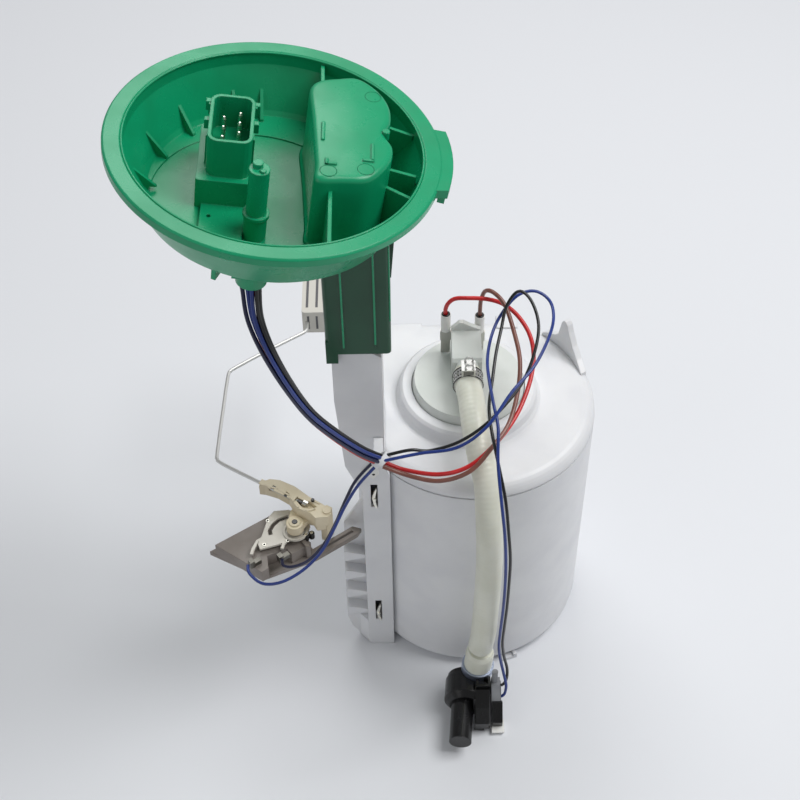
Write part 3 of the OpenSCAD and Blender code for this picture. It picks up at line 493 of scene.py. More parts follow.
def placed(name: str, data: bpy.types.ID) -> bpy.types.Object:
    """Return a new object with its data, linked to the scene."""
    made = bpy.data.objects.new(name, data)
    bpy.context.scene.collection.objects.link(made)
    return made


def new_piece(name: str, bm: bmesh.types.BMesh, material: bpy.types.Material,
              smooth: bool) -> bpy.types.Object:
    """Turn a bmesh in millimetres into an object in metres, at the origin.

    Args:
        name: The piece's name.
        bm: The mesh, which is freed.
        material: The piece's material.
        smooth: Whether its faces shade smoothly.

    Returns:
        The object, linked to the scene.
    """
    bmesh.ops.remove_doubles(bm, verts=bm.verts, dist=0.001)
    bmesh.ops.recalc_face_normals(bm, faces=bm.faces)
    bmesh.ops.scale(bm, verts=bm.verts, vec=(MM, MM, MM))
    mesh = bpy.data.meshes.new(name)
    bm.to_mesh(mesh)
    bm.free()
    mesh.materials.append(material)
    for polygon in mesh.polygons:
        polygon.use_smooth = smooth
    return placed(name, mesh)


def joined(name: str, parts: Sequence[bpy.types.Object]) -> bpy.types.Object:
    """Join plain meshes into one object that keeps each part's material.

    Args:
        name: The piece's name.
        parts: The objects, which are removed.

    Returns:
        The joined object.
    """
    bm = bmesh.new()
    materials: list[bpy.types.Material] = []
    for part in parts:
        material = part.data.materials[0]
        if material not in materials:
            materials.append(material)
        first = len(bm.faces)
        bm.from_mesh(part.data)
        bm.faces.ensure_lookup_table()
        for face in bm.faces[first:]:
            face.material_index = materials.index(material)
        bpy.data.objects.remove(part)
    mesh = bpy.data.meshes.new(name)
    bm.to_mesh(mesh)
    bm.free()
    for material in materials:
        mesh.materials.append(material)
    return placed(name, mesh)


def smooth_step(before: Vector, here: Vector, there: Vector, after: Vector,
                steps: int) -> list[Vector]:
    """Run a smooth curve from one point to the next.

    Args:
        before: The point before the stretch.
        here: Where the stretch starts.
        there: Where it ends.
        after: The point after it.
        steps: The number of points, the start among them and the end not.

    Returns:
        The points.
    """
    return [
        0.5 * (2 * here + (there - before) * t
               + (2 * before - 5 * here + 4 * there - after) * t * t
               + (3 * here - before - 3 * there + after) * t ** 3)
        for t in (step / steps for step in range(steps))
    ]


def smooth_route(points: Sequence[Point]) -> list[Vector]:
    """Run a smooth line through given points.

    Args:
        points: The route's points.

    Returns:
        The points of the smooth line, the given points among them.
    """
    given = [Vector(p) for p in points]
    line: list[Vector] = []
    for index in range(len(given) - 1):
        line += smooth_step(given[max(index - 1, 0)], given[index], given[index + 1],
                            given[min(index + 2, len(given) - 1)], ROUTE_STEPS)
    return line + [given[-1]]


# What Geometry Nodes make


class GrowTree:
    """A Geometry Nodes tree with named inputs, whose result is taken as a plain mesh."""

    def __init__(self, name: str, inputs: dict[str, str]) -> None:
        """Start the tree, with an input for the finish among the others.

        Args:
            name: The tree's name.
            inputs: Each input's name and socket type.
        """
        self.tree = bpy.data.node_groups.new(name, "GeometryNodeTree")
        face = self.tree.interface
        face.new_socket("Geometry", in_out="INPUT", socket_type="NodeSocketGeometry")
        self.sockets = {
            label: face.new_socket(label, in_out="INPUT", socket_type=kind).identifier
            for label, kind in {**inputs, "Finish": "NodeSocketMaterial"}.items()
        }
        face.new_socket("Geometry", in_out="OUTPUT", socket_type="NodeSocketGeometry")
        self.sheet = NodeSheet(self.tree)
        self.start = self.sheet.add("NodeGroupInput")
        self.end = self.sheet.add("NodeGroupOutput")

    def close(self, geometry: bpy.types.NodeSocket) -> None:
        """End the tree: its instances are made real and get the finish."""
        real = self.sheet.add("GeometryNodeRealizeInstances")
        self.sheet.link(geometry, real.inputs["Geometry"])
        dress = self.sheet.add("GeometryNodeSetMaterial")
        self.sheet.link(real.outputs["Geometry"], dress.inputs["Geometry"])
        self.sheet.link(self.start.outputs["Finish"], dress.inputs["Material"])
        self.sheet.link(dress.outputs["Geometry"], self.end.inputs["Geometry"])

    def grow(self, name: str, data: bpy.types.ID, values: dict[str, object]) -> bpy.types.Object:
        """Run the tree and return what it makes as a plain mesh.

        Args:
            name: The piece's name.
            data: The curve or mesh that the tree starts from.
            values: Each input's value.

        Returns:
            The object.
        """
        holder = placed(f"{name}_holder", data)
        modifier = holder.modifiers.new("grow", "NODES")
        modifier.node_group = self.tree
        for label, value in values.items():
            modifier[self.sockets[label]] = value
        graph = bpy.context.evaluated_depsgraph_get()
        mesh = bpy.data.meshes.new_from_object(holder.evaluated_get(graph))
        mesh.name = name
        bpy.data.objects.remove(holder)
        return placed(name, mesh)


class CordSweep(GrowTree):
    """Sweeps a tube along a curve, plain or ribbed."""

    def __init__(self) -> None:
        """Build the tree."""
        number = "NodeSocketFloat"
        super().__init__("Cord sweep", {"Radius": number, "Step": number, "Pitch": number,
                                        "Rib": number, "Sides": "NodeSocketInt"})
        sheet, start = self.sheet, self.start
        resample = sheet.add("GeometryNodeResampleCurve", mode="LENGTH")
        sheet.link(start.outputs["Geometry"], resample.inputs["Curve"])
        sheet.link(start.outputs["Step"], resample.inputs["Length"])
        along = sheet.add("GeometryNodeSplineParameter")
        turns = sheet.math("DIVIDE", along.outputs["Length"], start.outputs["Pitch"])
        wave = sheet.math("COSINE", sheet.math("MULTIPLY", turns, 2 * math.pi))
        dip = sheet.math("MULTIPLY", sheet.math("SUBTRACT", wave, 1.0), start.outputs["Rib"])
        swell = sheet.math("MULTIPLY_ADD", dip, 0.5, 1.0)
        circle = sheet.add("GeometryNodeCurvePrimitiveCircle")
        sheet.link(1.0, circle.inputs["Radius"])
        sheet.link(start.outputs["Sides"], circle.inputs["Resolution"])
        tube = sheet.add("GeometryNodeCurveToMesh")
        sheet.link(True, tube.inputs["Fill Caps"])
        sheet.link(resample.outputs["Curve"], tube.inputs["Curve"])
        sheet.link(circle.outputs["Curve"], tube.inputs["Profile Curve"])
        sheet.link(sheet.math("MULTIPLY", swell, start.outputs["Radius"]), tube.inputs["Scale"])
        smooth = sheet.add("GeometryNodeSetShadeSmooth")
        sheet.link(tube.outputs["Mesh"], smooth.inputs["Geometry"])
        self.close(smooth.outputs["Geometry"])

    def tube(self, name: str, line: Sequence[Vector], diameter: float, material: bpy.types.Material,
             step: float, sides: int, pitch: float = 1.0, rib: float = 0.0) -> bpy.types.Object:
        """Sweep a tube along a line and return it as a plain mesh.

        Args:
            name: The piece's name.
            line: The centre line, in millimetres.
            diameter: The tube's diameter.
            material: Its material.
            step: The distance between its rings.
            sides: The number of its sides.
            pitch: The distance between ribs.
            rib: The share of the radius that a groove takes away.

        Returns:
            The tube's object.
        """
        shape = bpy.data.curves.new(f"{name}_line", "CURVE")
        shape.dimensions = "3D"
        spline = shape.splines.new("POLY")
        spline.points.add(len(line) - 1)
        for spot, point in zip(spline.points, line):
            spot.co = (*(point * MM), 1.0)
        return self.grow(name, shape, {
            "Radius": diameter / 2 * MM, "Step": step * MM, "Pitch": pitch * MM, "Rib": rib,
            "Sides": sides, "Finish": material,
        })


class HoleRows(GrowTree):
    """Puts small discs on two circles, each turned outwards."""

    def __init__(self, sides: int, depth: float) -> None:
        """Build the tree.

        Args:
            sides: The number of a disc's sides.
            depth: A disc's thickness.
        """
        number = "NodeSocketFloat"
        super().__init__("Band holes", {"Band radius": number, "Hole radius": number,
                                        "Row gap": number, "Holes": "NodeSocketInt"})
        sheet, start = self.sheet, self.start
        join = sheet.add("GeometryNodeJoinGeometry")
        for side in (-1.0, 1.0):
            circle = sheet.add("GeometryNodeMeshCircle", fill_type="NONE")
            sheet.link(start.outputs["Holes"], circle.inputs["Vertices"])
            sheet.link(start.outputs["Band radius"], circle.inputs["Radius"])
            shift = sheet.add("ShaderNodeCombineXYZ")
            sheet.link(sheet.math("MULTIPLY", start.outputs["Row gap"], side), shift.inputs["Z"])
            move = sheet.add("GeometryNodeTransform")
            sheet.link(circle.outputs["Mesh"], move.inputs["Geometry"])
            sheet.link(shift.outputs["Vector"], move.inputs["Translation"])
            sheet.link(move.outputs["Geometry"], join.inputs["Geometry"])
        hole = sheet.add("GeometryNodeMeshCylinder")
        sheet.link(sides, hole.inputs["Vertices"])
        sheet.link(depth * MM, hole.inputs["Depth"])
        sheet.link(start.outputs["Hole radius"], hole.inputs["Radius"])
        flat = sheet.add("ShaderNodeVectorMath", operation="MULTIPLY")
        sheet.link(sheet.add("GeometryNodeInputPosition").outputs["Position"], flat.inputs[0])
        flat.inputs[1].default_value = (1.0, 1.0, 0.0)
        aim = sheet.add("FunctionNodeAlignRotationToVector", axis="Z")
        sheet.link(flat.outputs["Vector"], aim.inputs["Vector"])
        spread = sheet.add("GeometryNodeInstanceOnPoints")
        sheet.link(join.outputs["Geometry"], spread.inputs["Points"])
        sheet.link(hole.outputs["Mesh"], spread.inputs["Instance"])
        sheet.link(aim.outputs["Rotation"], spread.inputs["Rotation"])
        self.close(spread.outputs["Instances"])


# Hose and wires. The routes are the same points as in the part's source

HOSE_ROUTE: list[Point] = [
    (-4.5, -6, 182), (-4.5, -16, 182.5), (-3.5, -25, 183.5), (-2.5, -39.5, 181.6),
    (-0.5, -53, 176), (2.7, -64.6, 167.1), (3.5, -73.5, 155.5), (4, -79.1, 142), (4.4, -81, 127.5),
    (4.2, -83, 112), (3.9, -84, 96), (3.5, -84, 80), (3.2, -83, 64), (2.7, -81, 54),
    (2.3, -80, 47),
]
RED_ROUTE: list[Point] = [
    (-47, -62, 181), (-37, -64, 177), (-20, -68, 178), (-6, -68, 184), (7, -58, 189),
    (17, -44, 192), (24, -28, 196), (27, -14, 200), (26, -2, 203), (21, 7, 207), (14, 13, 210),
    (6, 16, 211), (-3, 17, 211), (-10.8, 18.6, 209), (-14.6, 19, 203), (-14.6, 19, 194.7),
]
BROWN_ROUTE: list[Point] = [
    (-47, -65, 181), (-34, -68, 177), (-20, -72, 178), (-6, -72, 185), (5, -62, 191),
    (13, -50, 193), (18, -34, 197), (20, -18, 202), (18, -4, 207), (14, 8, 214), (9, 14, 217),
    (5, 19, 214), (3, 20.4, 207), (2.6, 20.4, 200), (2.6, 20.4, 192),
]
BLACK_ROUTE: list[Point] = [
    (-47, -62, 185), (-34, -61, 188), (-25, -60, 186), (-12, -58, 189), (0, -53, 194),
    (11, -44, 199), (20, -33, 203), (26, -21, 209), (29, -8, 216), (26, 3, 222), (20, 7, 225),
    (14, 2, 220), (11, -8, 214), (8, -20, 210), (5.6, -34, 206), (3.4, -48, 203), (4.2, -60, 199),
    (6.9, -72, 190), (10.3, -82, 175), (12.1, -88, 158), (13.5, -91, 140), (13.6, -92, 120),
    (13.4, -92, 100), (12.9, -91, 80), (12.9, -89, 62), (14.6, -87, 46), (16.4, -87, 36),
    (16.6, -88.5, 29), (15.4, -89.5, 24.6), (13.7, -90, 23),
]
BLUE_ROUTE: list[Point] = [
    (-47, -65, 185), (-30, -65, 190), (-12, -65, 194), (2, -60, 203), (14, -46, 211),
    (25, -33, 214), (33, -16, 215), (37, 0, 213), (36, 11, 214), (29, 15, 217), (20, 13, 216),
    (12, 7, 209), (7, -3, 205), (4, -20, 206), (4, -36, 208), (5.4, -49, 206), (7.1, -60, 201.5),
    (6.6, -73, 192.4), (8.2, -84, 176.5), (10.1, -90.2, 159), (11.2, -93, 140), (11.5, -94, 120),
    (11.3, -94, 100), (10.8, -93, 80), (10.9, -91, 62), (12.6, -89, 46), (14.4, -90.4, 36),
    (16, -92.4, 27), (15.4, -93.4, 20), (13.7, -93.6, 17.6),
]
NEAR_ROUTE: list[Point] = [
    (-50, -65, 182), (-59, -68, 171), (-66, -71, 158), (-72, -76, 146), (-78, -81, 136),
    (-87, -86, 128), (-98, -89, 122), (-108, -87, 118), (-115, -80, 117), (-116, -75, 117),
]
FAR_ROUTE: list[Point] = [
    (-50, -61, 182), (-60, -64, 170), (-66, -67, 157), (-71, -71, 145), (-77, -76, 135),
    (-85, -80, 127), (-93, -80, 122), (-98, -77, 119), (-99, -72, 117),
]
BUNDLE_ROUTE: list[Point] = [
    (-97, -72, 307), (-97, -76, 293), (-93, -80, 277), (-86, -81, 256), (-78, -78, 234),
    (-68, -73, 214), (-57, -68, 196), (-49, -63, 184),
]
COUPLING = ("hose_cuff", "hose_ring", "coupling_body", "coupling_latch", "coupling_sensor")


@dataclass
class Cord:
    """One free cord: its route, size and finish, and the solid that it stands for."""

    rings_per_rib = 6
    ring_gap = 0.8
    name: str
    node: str
    slot: str
    finish: str
    diameter: float
    route: Sequence[Point]
    stiffness: str = "limp"
    far_end: str = "object"
    pitch: float = 1.0
    rib: float = 0.0
    sides: int = 12
    with_pieces: Sequence[str] = ()

    def build(self, sweep: CordSweep, finishes: Finishes) -> None:
        """Args:
            sweep: The tree that sweeps tubes.
            finishes: The table of finishes.
        """
        line = smooth_route(self.route)
        step = self.pitch / self.rings_per_rib if self.rib else self.diameter * self.ring_gap
        made = sweep.tube(self.name, line, self.diameter, finishes.get(self.finish), step,
                          self.sides, self.pitch, self.rib)
        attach(made, Body.POT.value)
        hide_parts(self.node)


CORDS: list[Cord] = [
    Cord("corrugated_hose", "fuel_hose", "hose_plastic", "hose", 13.2, HOSE_ROUTE, "stiff",
         far_end="fitting", pitch=2.4, rib=0.014, sides=40, with_pieces=COUPLING),
    Cord("pump_wire_red", "wire_red", "wire_red", "wire_red", 2.2, RED_ROUTE),
    Cord("pump_wire_brown", "wire_brown", "wire_brown", "wire_brown", 2.2, BROWN_ROUTE),
    Cord("signal_wire_black", "wire_black", "wire_dark", "wire_black", 1.6, BLACK_ROUTE),
    Cord("signal_wire_blue", "wire_blue", "wire_blue", "wire_blue", 1.6, BLUE_ROUTE),
    Cord("level_wire_near", "sender_wire_near", "wire_blue", "wire_blue", 1.6, NEAR_ROUTE),
    Cord("level_wire_far", "sender_wire_far", "wire_blue", "wire_navy", 1.6, FAR_ROUTE),
]


@dataclass(frozen=True)
class Strand:
    """One wire of the bundle: its finish, and where it lies round the bundle's middle."""

    finish: str
    angle: float
    reach: float = 2.05
    fan: float = 0.0


@dataclass
class Bundle:
    """The run of thin wires from the flange to the cable tie, fanned out at the flange."""

    diameter: float = 6.4
    strand_diameter: float = 1.9
    strand_step: float = 1.2
    strand_sides: int = 10
    twist: float = -60.0
    fan_end: float = 0.5
    fan_curve: float = 1.5
    towards_viewer: Point = (0.0, -0.667, 0.745)
    strands: tuple[Strand, ...] = (
        Strand("wire_blue", 0, 0.0, fan=3.0), Strand("wire_black", 180), Strand("wire_blue", 120),
        Strand("wire_navy", 60, fan=3.1), Strand("wire_red", 0), Strand("wire_brown", 300),
        Strand("wire_black", 240),
    )

    def build(self, sweep: CordSweep, finishes: Finishes) -> None:
        """Sweep each strand along the run between flange and pot, and join them.

        Args:
            sweep: The tree that sweeps tubes.
            finishes: The table of finishes.
        """
        line = smooth_route(BUNDLE_ROUTE)
        made = joined("bundle_strands", [
            sweep.tube(f"strand_{index}", self._line(line, strand), self.strand_diameter,
                       finishes.get(strand.finish), self.strand_step, self.strand_sides)
            for index, strand in enumerate(self.strands)
        ])
        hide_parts("wire_bundle")
        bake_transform(made)

    def _line(self, line: Sequence[Vector], strand: Strand) -> list[Vector]:
        """Return a strand's own line beside the bundle's middle."""
        viewer = Vector(self.towards_viewer)
        places = []
        for index, point in enumerate(line):
            share = index / (len(line) - 1)
            along = (line[min(index + 1, len(line) - 1)] - line[max(index - 1, 0)]).normalized()
            across = along.cross(viewer).normalized()
            out = across.cross(along).normalized()
            angle = math.radians(strand.angle + self.twist * (1 - share))
            fan = strand.fan * max(0.0, 1 - share / self.fan_end) ** self.fan_curve
            places.append(point + across * (strand.reach * math.cos(angle) + fan)
                          + out * strand.reach * math.sin(angle))
        return places


@dataclass
class ReturnSpring:
    """The coil spring that presses the flange away from the pot."""

    centre: Plan = (-60.81, -24.5)
    foot: float = 300.9
    head: float = 341.95
    radius: float = 7.0
    wire: float = 1.6
    turns: int = 6
    steps_per_turn: int = 30
    closed_share: float = 0.08
    closed_rise: float = 0.9
    ring_gap: float = 1.2
    sides: int = 10

    def build(self, sweep: CordSweep, finishes: Finishes) -> None:
        """Sweep the coil with closed ends, where it stands between column and flange.

        Args:
            sweep: The tree that sweeps tubes.
            finishes: The table of finishes.
        """
        x, y = self.centre
        steps = self.steps_per_turn * self.turns
        closed, lift = self.closed_share, self.closed_rise
        line = []
        for share in (index / steps for index in range(steps + 1)):
            angle = 2 * math.pi * self.turns * share
            rise = min(max((share - closed) / (1 - 2 * closed), 0.0), 1.0)
            height = (self.foot + lift * min(share, closed) / closed
                      + (self.head - self.foot - 2 * lift) * rise
                      + lift * max(share - 1 + closed, 0.0) / closed)
            line.append(Vector((x + self.radius * math.cos(angle),
                                y + self.radius * math.sin(angle), height)))
        made = sweep.tube("coil_spring", line, self.wire, finishes.get("steel"), self.ring_gap,
                          self.sides)
        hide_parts("return_spring")
        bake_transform(made)


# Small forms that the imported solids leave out


def flange_turn() -> Matrix:
    """Return the matrix that takes the flange's own frame to the row's frame."""
    return Matrix.Translation(FLANGE_AT) @ Matrix.Rotation(math.radians(FLANGE_LEAN), 4, "Y")


class Shaper:
    """A mesh in millimetres that simple forms are added to, one by one."""

    wire_sides = 10

    def __init__(self, turn: Matrix | None = None) -> None:
        """Start empty.

        Args:
            turn: Takes the forms' own frame to the row's frame.
        """
        self.mesh = bmesh.new()
        self.turn = turn or Matrix()

    def loft(self, outlines: Sequence[Sequence[Vector]]) -> None:
        """Add a closed skin over outlines that have the same number of points.

        Args:
            outlines: The outlines, from the first end to the other.
        """
        rings = [[self.mesh.verts.new(self.turn @ point) for point in outline]
                 for outline in outlines]
        self.skin(rings)
        self.mesh.faces.new(rings[0][::-1])
        self.mesh.faces.new(rings[-1])

    def skin(self, rings: Sequence[Sequence[bmesh.types.BMVert]]) -> None:
        """Add the faces between each ring of points and the next."""
        for lower, upper in zip(rings, rings[1:]):
            for index in range(len(lower)):
                after = (index + 1) % len(lower)
                self.mesh.faces.new((lower[index], lower[after], upper[after], upper[index]))

    def prism(self, outline: Sequence[Plan], low: float, high: float, edge: float = 0.12) -> None:
        """Add an upright prism with small chamfers at its top edge.

        Args:
            outline: The plan's points.
            low: The height of its foot.
            high: The height of its top.
            edge: The size of the chamfer.
        """
        plan = [Vector((x, y, 0)) for x, y in outline]
        middle = sum(plan, Vector()) / len(plan)
        small = [point + (middle - point).normalized() * edge for point in plan]
        self.loft([[point + Vector((0, 0, height)) for point in level]
                   for level, height in ((plan, low), (plan, high - edge), (small, high))])

    def bars(self, level: float, table: Sequence[Bar]) -> None:
        """Add low bars, whose heights are counted from a level.

        Args:
            level: The level.
            table: The bars.
        """
        for start, end, width, foot, head in table:
            first, last = Vector(start), Vector(end)
            side = (last - first).normalized().orthogonal() * width / 2
            self.prism([tuple(first - side), tuple(last - side), tuple(last + side),
                        tuple(first + side)], level + foot, level + head)

    def discs(self, level: float, table: Sequence[Disc]) -> None:
        """Add round buttons, whose heights are counted from a level.

        Args:
            level: The level.
            table: The discs.
        """
        for (x, y), radius, foot, head, sides in table:
            self.prism([(x + radius * math.cos(2 * math.pi * k / sides),
                         y + radius * math.sin(2 * math.pi * k / sides)) for k in range(sides)],
                       level + foot, level + head)

    def ring(self, centre: Point, axis: Point, radius: float, wire: float, sides: int,
             flat: float = 1.0) -> None:
        """Add a closed ring of wire.

        Args:
            centre: The ring's middle.
            axis: The direction that it turns about.
            radius: The distance from the middle to the wire's middle.
            wire: The wire's radius across the axis.
            sides: The number of steps round the ring.
            flat: The wire's radius along the axis, as a share of wire.
        """
        up = Vector(axis).normalized()
        first = up.orthogonal().normalized()
        second = up.cross(first)
        rows = []
        for step in range(sides):
            angle = 2 * math.pi * step / sides
            out = first * math.cos(angle) + second * math.sin(angle)
            rows.append([
                self.mesh.verts.new(self.turn @ (
                    Vector(centre) + out * (radius + wire * math.cos(turn))
                    + up * wire * flat * math.sin(turn)))
                for turn in (2 * math.pi * k / self.wire_sides for k in range(self.wire_sides))
            ])
        self.skin(rows + rows[:1])


@dataclass
class Trim:
    """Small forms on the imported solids. Each kind holds its sizes and makes its pieces."""

    finishes: Finishes

    def piece(self, shape: Shaper, name: str, body: Body, slot: str, finish: str,
              smooth: bool = False) -> bpy.types.Object:
        """Turn the shaper's forms into a piece that rides on a body.

        Args:
            shape: The forms.
            name: The piece's name.
            body: The body that carries it.
            slot: Not used.
            finish: The key of its finish.
            smooth: Whether its faces shade smoothly.

        Returns:
            The piece.
        """
        made = new_piece(name, shape.mesh, self.finishes.get(finish), smooth)
        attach(made, body.value)
        return made

    def build(self) -> None:
        """Make the pieces. Each kind has its own."""
        raise NotImplementedError


@dataclass
class HousingShell(Trim):
    """The spring housing's real skin: a smooth outline, a rounded top edge and a flared foot."""

    outline: tuple[Plan, ...] = (
        (17, -30.3), (27.5, -29.6), (38.4, -27.2), (46.2, -16.2), (47.9, -5.6), (44.6, 2.6),
        (47.2, 11.5), (46.5, 22.2), (41.5, 32), (33.2, 38.6), (24.5, 37.2), (16.2, 33.9),
        (12.9, 27), (14.2, 12), (15.4, -4), (16.4, -20),
    )
    top: float = 8.9
    foot: float = -26.25
    fillet: float = 2.6
    flare: float = 1.3
    wall: float = 2.2
    # The foot's profile: outwards as a share of the flare, and upwards from the foot
    skirt: tuple[Plan, ...] = ((1.0, 0.0), (0.5, 0.4), (0.12, 1.0), (0.0, 2.0))
    steps: int = 5
    sharp_from: float = 40.0
    marks: tuple[Bar, ...] = (
        ((19.1, -6.5), (19.1, 5), 1.2, -0.3, 0.7), ((20.3, -20.8), (24.9, -20.8), 1.4, -0.3, 0.7),
        ((20.9, -21.5), (20.9, -17.9), 1.2, -0.3, 0.7), ((39.4, -17), (39.4, -6), 1.2, -0.3, 0.7),
        ((35.4, -16.8), (40, -16.8), 1.5, -0.3, 0.7),
    )
    nub: Disc = ((45, 2.8), 1.6, -3.4, 0.7, 24)
    ring_places: tuple[Plan, ...] = ((21.7, -25.2), (36.7, -22.1), (39.6, 25.7))
    ring_radius: float = 3.4
    ring_wire: float = 0.16
    ring_flat: float = 0.6
    ring_sides: int = 32

    def build(self) -> None:
        """Make the shell with its marks, and the faint rings on its top."""
        plan = self._plan()
        shape = Shaper(flange_turn())
        levels = [self._level(plan, self.wall, self.top - self.wall),
                  self._level(plan, self.wall, self.foot)]
        levels += [self._level(plan, -share * self.flare, self.foot + rise)
                   for share, rise in self.skirt]
        for step in range(self.steps + 1):
            angle = math.pi / 2 * step / self.steps
            levels.append(self._level(plan, self.fillet * (1 - math.cos(angle)),
                                      self.top - self.fillet * (1 - math.sin(angle))))
        shape.loft(levels)
        shape.bars(self.top, self.marks)
        shape.discs(self.top, [self.nub])
        shell = self.piece(shape, "housing_shell", Body.FLANGE, "green_plastic", "green", True)
        shell.data.set_sharp_from_angle(angle=math.radians(self.sharp_from))
        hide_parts("spring_housing")
        rings = Shaper(flange_turn())
        for x, y in self.ring_places:
            rings.ring((x, y, self.top + 0.02), UP, self.ring_radius, self.ring_wire,
                       self.ring_sides, self.ring_flat)
        self.piece(rings, "housing_rings", Body.FLANGE, "green_plastic", "green", True)

    def _plan(self) -> list[Vector]:
        """Return the smooth outline's points, round the housing once."""
        points = [Vector((x, y, 0)) for x, y in self.outline]
        count = len(points)
        line: list[Vector] = []
        for index in range(count):
            line += smooth_step(points[index - 1], points[index], points[(index + 1) % count],
                                points[(index + 2) % count], self.steps)
        return line

    @staticmethod
    def _level(plan: Sequence[Vector], inward: float, height: float) -> list[Vector]:
        """Return the outline moved inwards and lifted to a height."""
        moved = []
        for index, point in enumerate(plan):
            along = (plan[(index + 1) % len(plan)] - plan[index - 1]).normalized()
            moved.append(point + Vector((-along.y, along.x, 0)) * inward + Vector((0, 0, height)))
        return moved


@dataclass
class LeverTrim(Trim):
    """The lever's raised rim, bridges over the wire, painted shade in its windows and wire groove,
    tab and hub. It all swings.
    """

    top: float = 129.7
    hub: Plan = (-92.8, -54.4)
    hub_top: float = 124.4
    wire_end: Plan = (-85.0, -47.75)
    wire_way: Plan = (-0.848, 0.530)
    rim_line: tuple[Plan, ...] = (
        (-110.8, -33.9), (-108.4, -34.4), (-101.9, -36.9), (-95.6, -41.3), (-93.2, -45.4),
        (-90.9, -49.3), (-86.8, -51.5), (-82.4, -50.2),
    )
    rim_wide: float = 0.9
    rim_head: float = 0.55
    bridges: tuple[Plan, ...] = ((8.5, 13.2), (15.0, 21.4), (23.2, 30.6))
    bridge_wide: float = 3.2
    bridge_head: float = 0.4

    def build(self) -> None:
        """Make the beige forms, the dark ones, which are mostly painted shade, and the steel tab.
        """
        rim = Shaper()
        rim.bars(self.top, [(start, end, self.rim_wide, -0.2, self.rim_head)
                            for start, end in zip(self.rim_line, self.rim_line[1:])])
        rim.discs(self.top, [(point, self.rim_wide / 2, -0.2, self.rim_head, 12)
                             for point in self.rim_line])
        rim.bars(self.top, [(self._along(start), self._along(end), self.bridge_wide, -0.15,
                             self.bridge_head) for start, end in self.bridges])
        rim.bars(self.top, [((-84.4, -43.9), (-80.0, -47.0), 0.8, -0.2, 0.5)])
        rim.discs(self.top, [((-76.4, -51.4), 2.2, -0.4, 0.9, 24)])
        rim.discs(self.hub_top, [(self.hub, 4.4, -1.5, 0, 24), (self.hub, 2.9, -0.2, 0.7, 24)])
        self.piece(rim, "lever_rim", Body.ARM, "lever_plastic", "beige")
        # Painted shade: flat black patches for two dark windows, a black block deep in the wire's
        # groove and a dark dot in the hub's middle
        dark = Shaper()
        dark.bars(self.top, [
            (self._along(21.5, -0.6), self._along(23.3, -0.6), 1.3, -0.3, 0.14),
            ((-98.9, -40.2), (-96.7, -41.7), 1.0, -0.3, 0.12),
            (self._along(4.6, 0.2), self._along(7.4, 0.2), 1.5, -1.9, -0.1),
        ])
        dark.discs(self.top, [((-83.6, -44.9), 0.9, -0.3, 1.3, 16)])
        dark.discs(self.hub_top, [(self.hub, 1.5, 0.5, 0.9, 24)])
        self.piece(dark, "lever_window_shade", Body.ARM, "black_plastic", "black")
        tab = Shaper()
        tab.bars(self.top, [(self._along(1.6, -0.7), self._along(4.4, -0.7), 1.2, -2.4, 0.35)])
        self.piece(tab, "lever_tab", Body.ARM, "spring_steel", "steel")

    def _along(self, distance: float, aside: float = 0.0) -> Plan:
        """Return the plan point at a distance along the wire's groove, and beside it."""
        x, y = self.wire_end
        u, v = self.wire_way
        return x + u * distance - v * aside, y + v * distance + u * aside


@dataclass
class SenderTrim(Trim):
    """Rivets on the resistor card with painted shade in their holes, and two posts beside the hub.
    """

    card_top: float = 117.2
    rivets: tuple[Plan, ...] = ((-108.4, -62.6), (-96.6, -60.4), (-107.4, -47.6), (-94.4, -43.4),
                                (-88.4, -47.4))
    rivet_radius: float = 0.75
    rivet_wire: float = 0.28
    rivet_hole: float = 0.55
    posts: tuple[Plan, ...] = ((-87.4, -57.2), (-84.6, -56.0))
    post_radius: float = 1.5
    post_cap: float = 0.8

    def build(self) -> None:
        """Make the bright forms and the dark ones: the posts, and the painted shade in the rivets'
        holes.
        """
        bright, dark = Shaper(), Shaper()
        for x, y in self.rivets:
            bright.ring((x, y, self.card_top + 0.05), UP, self.rivet_radius, self.rivet_wire, 16)
        # Painted shade: a black dot in each rivet's hole
        dark.discs(self.card_top, [(spot, self.rivet_hole, -0.1, 0.12, 12) for spot in self.rivets])
        dark.discs(self.card_top, [(spot, self.post_radius, -3.3, 0.4, 24) for spot in self.posts])
        bright.discs(self.card_top, [(spot, self.post_cap, 0.2, 0.9, 16) for spot in self.posts])
        self.piece(bright, "card_rivets", Body.POT, "terminal_metal", "pin")
        self.piece(dark, "card_posts_and_hole_shade", Body.POT, "black_plastic", "black")


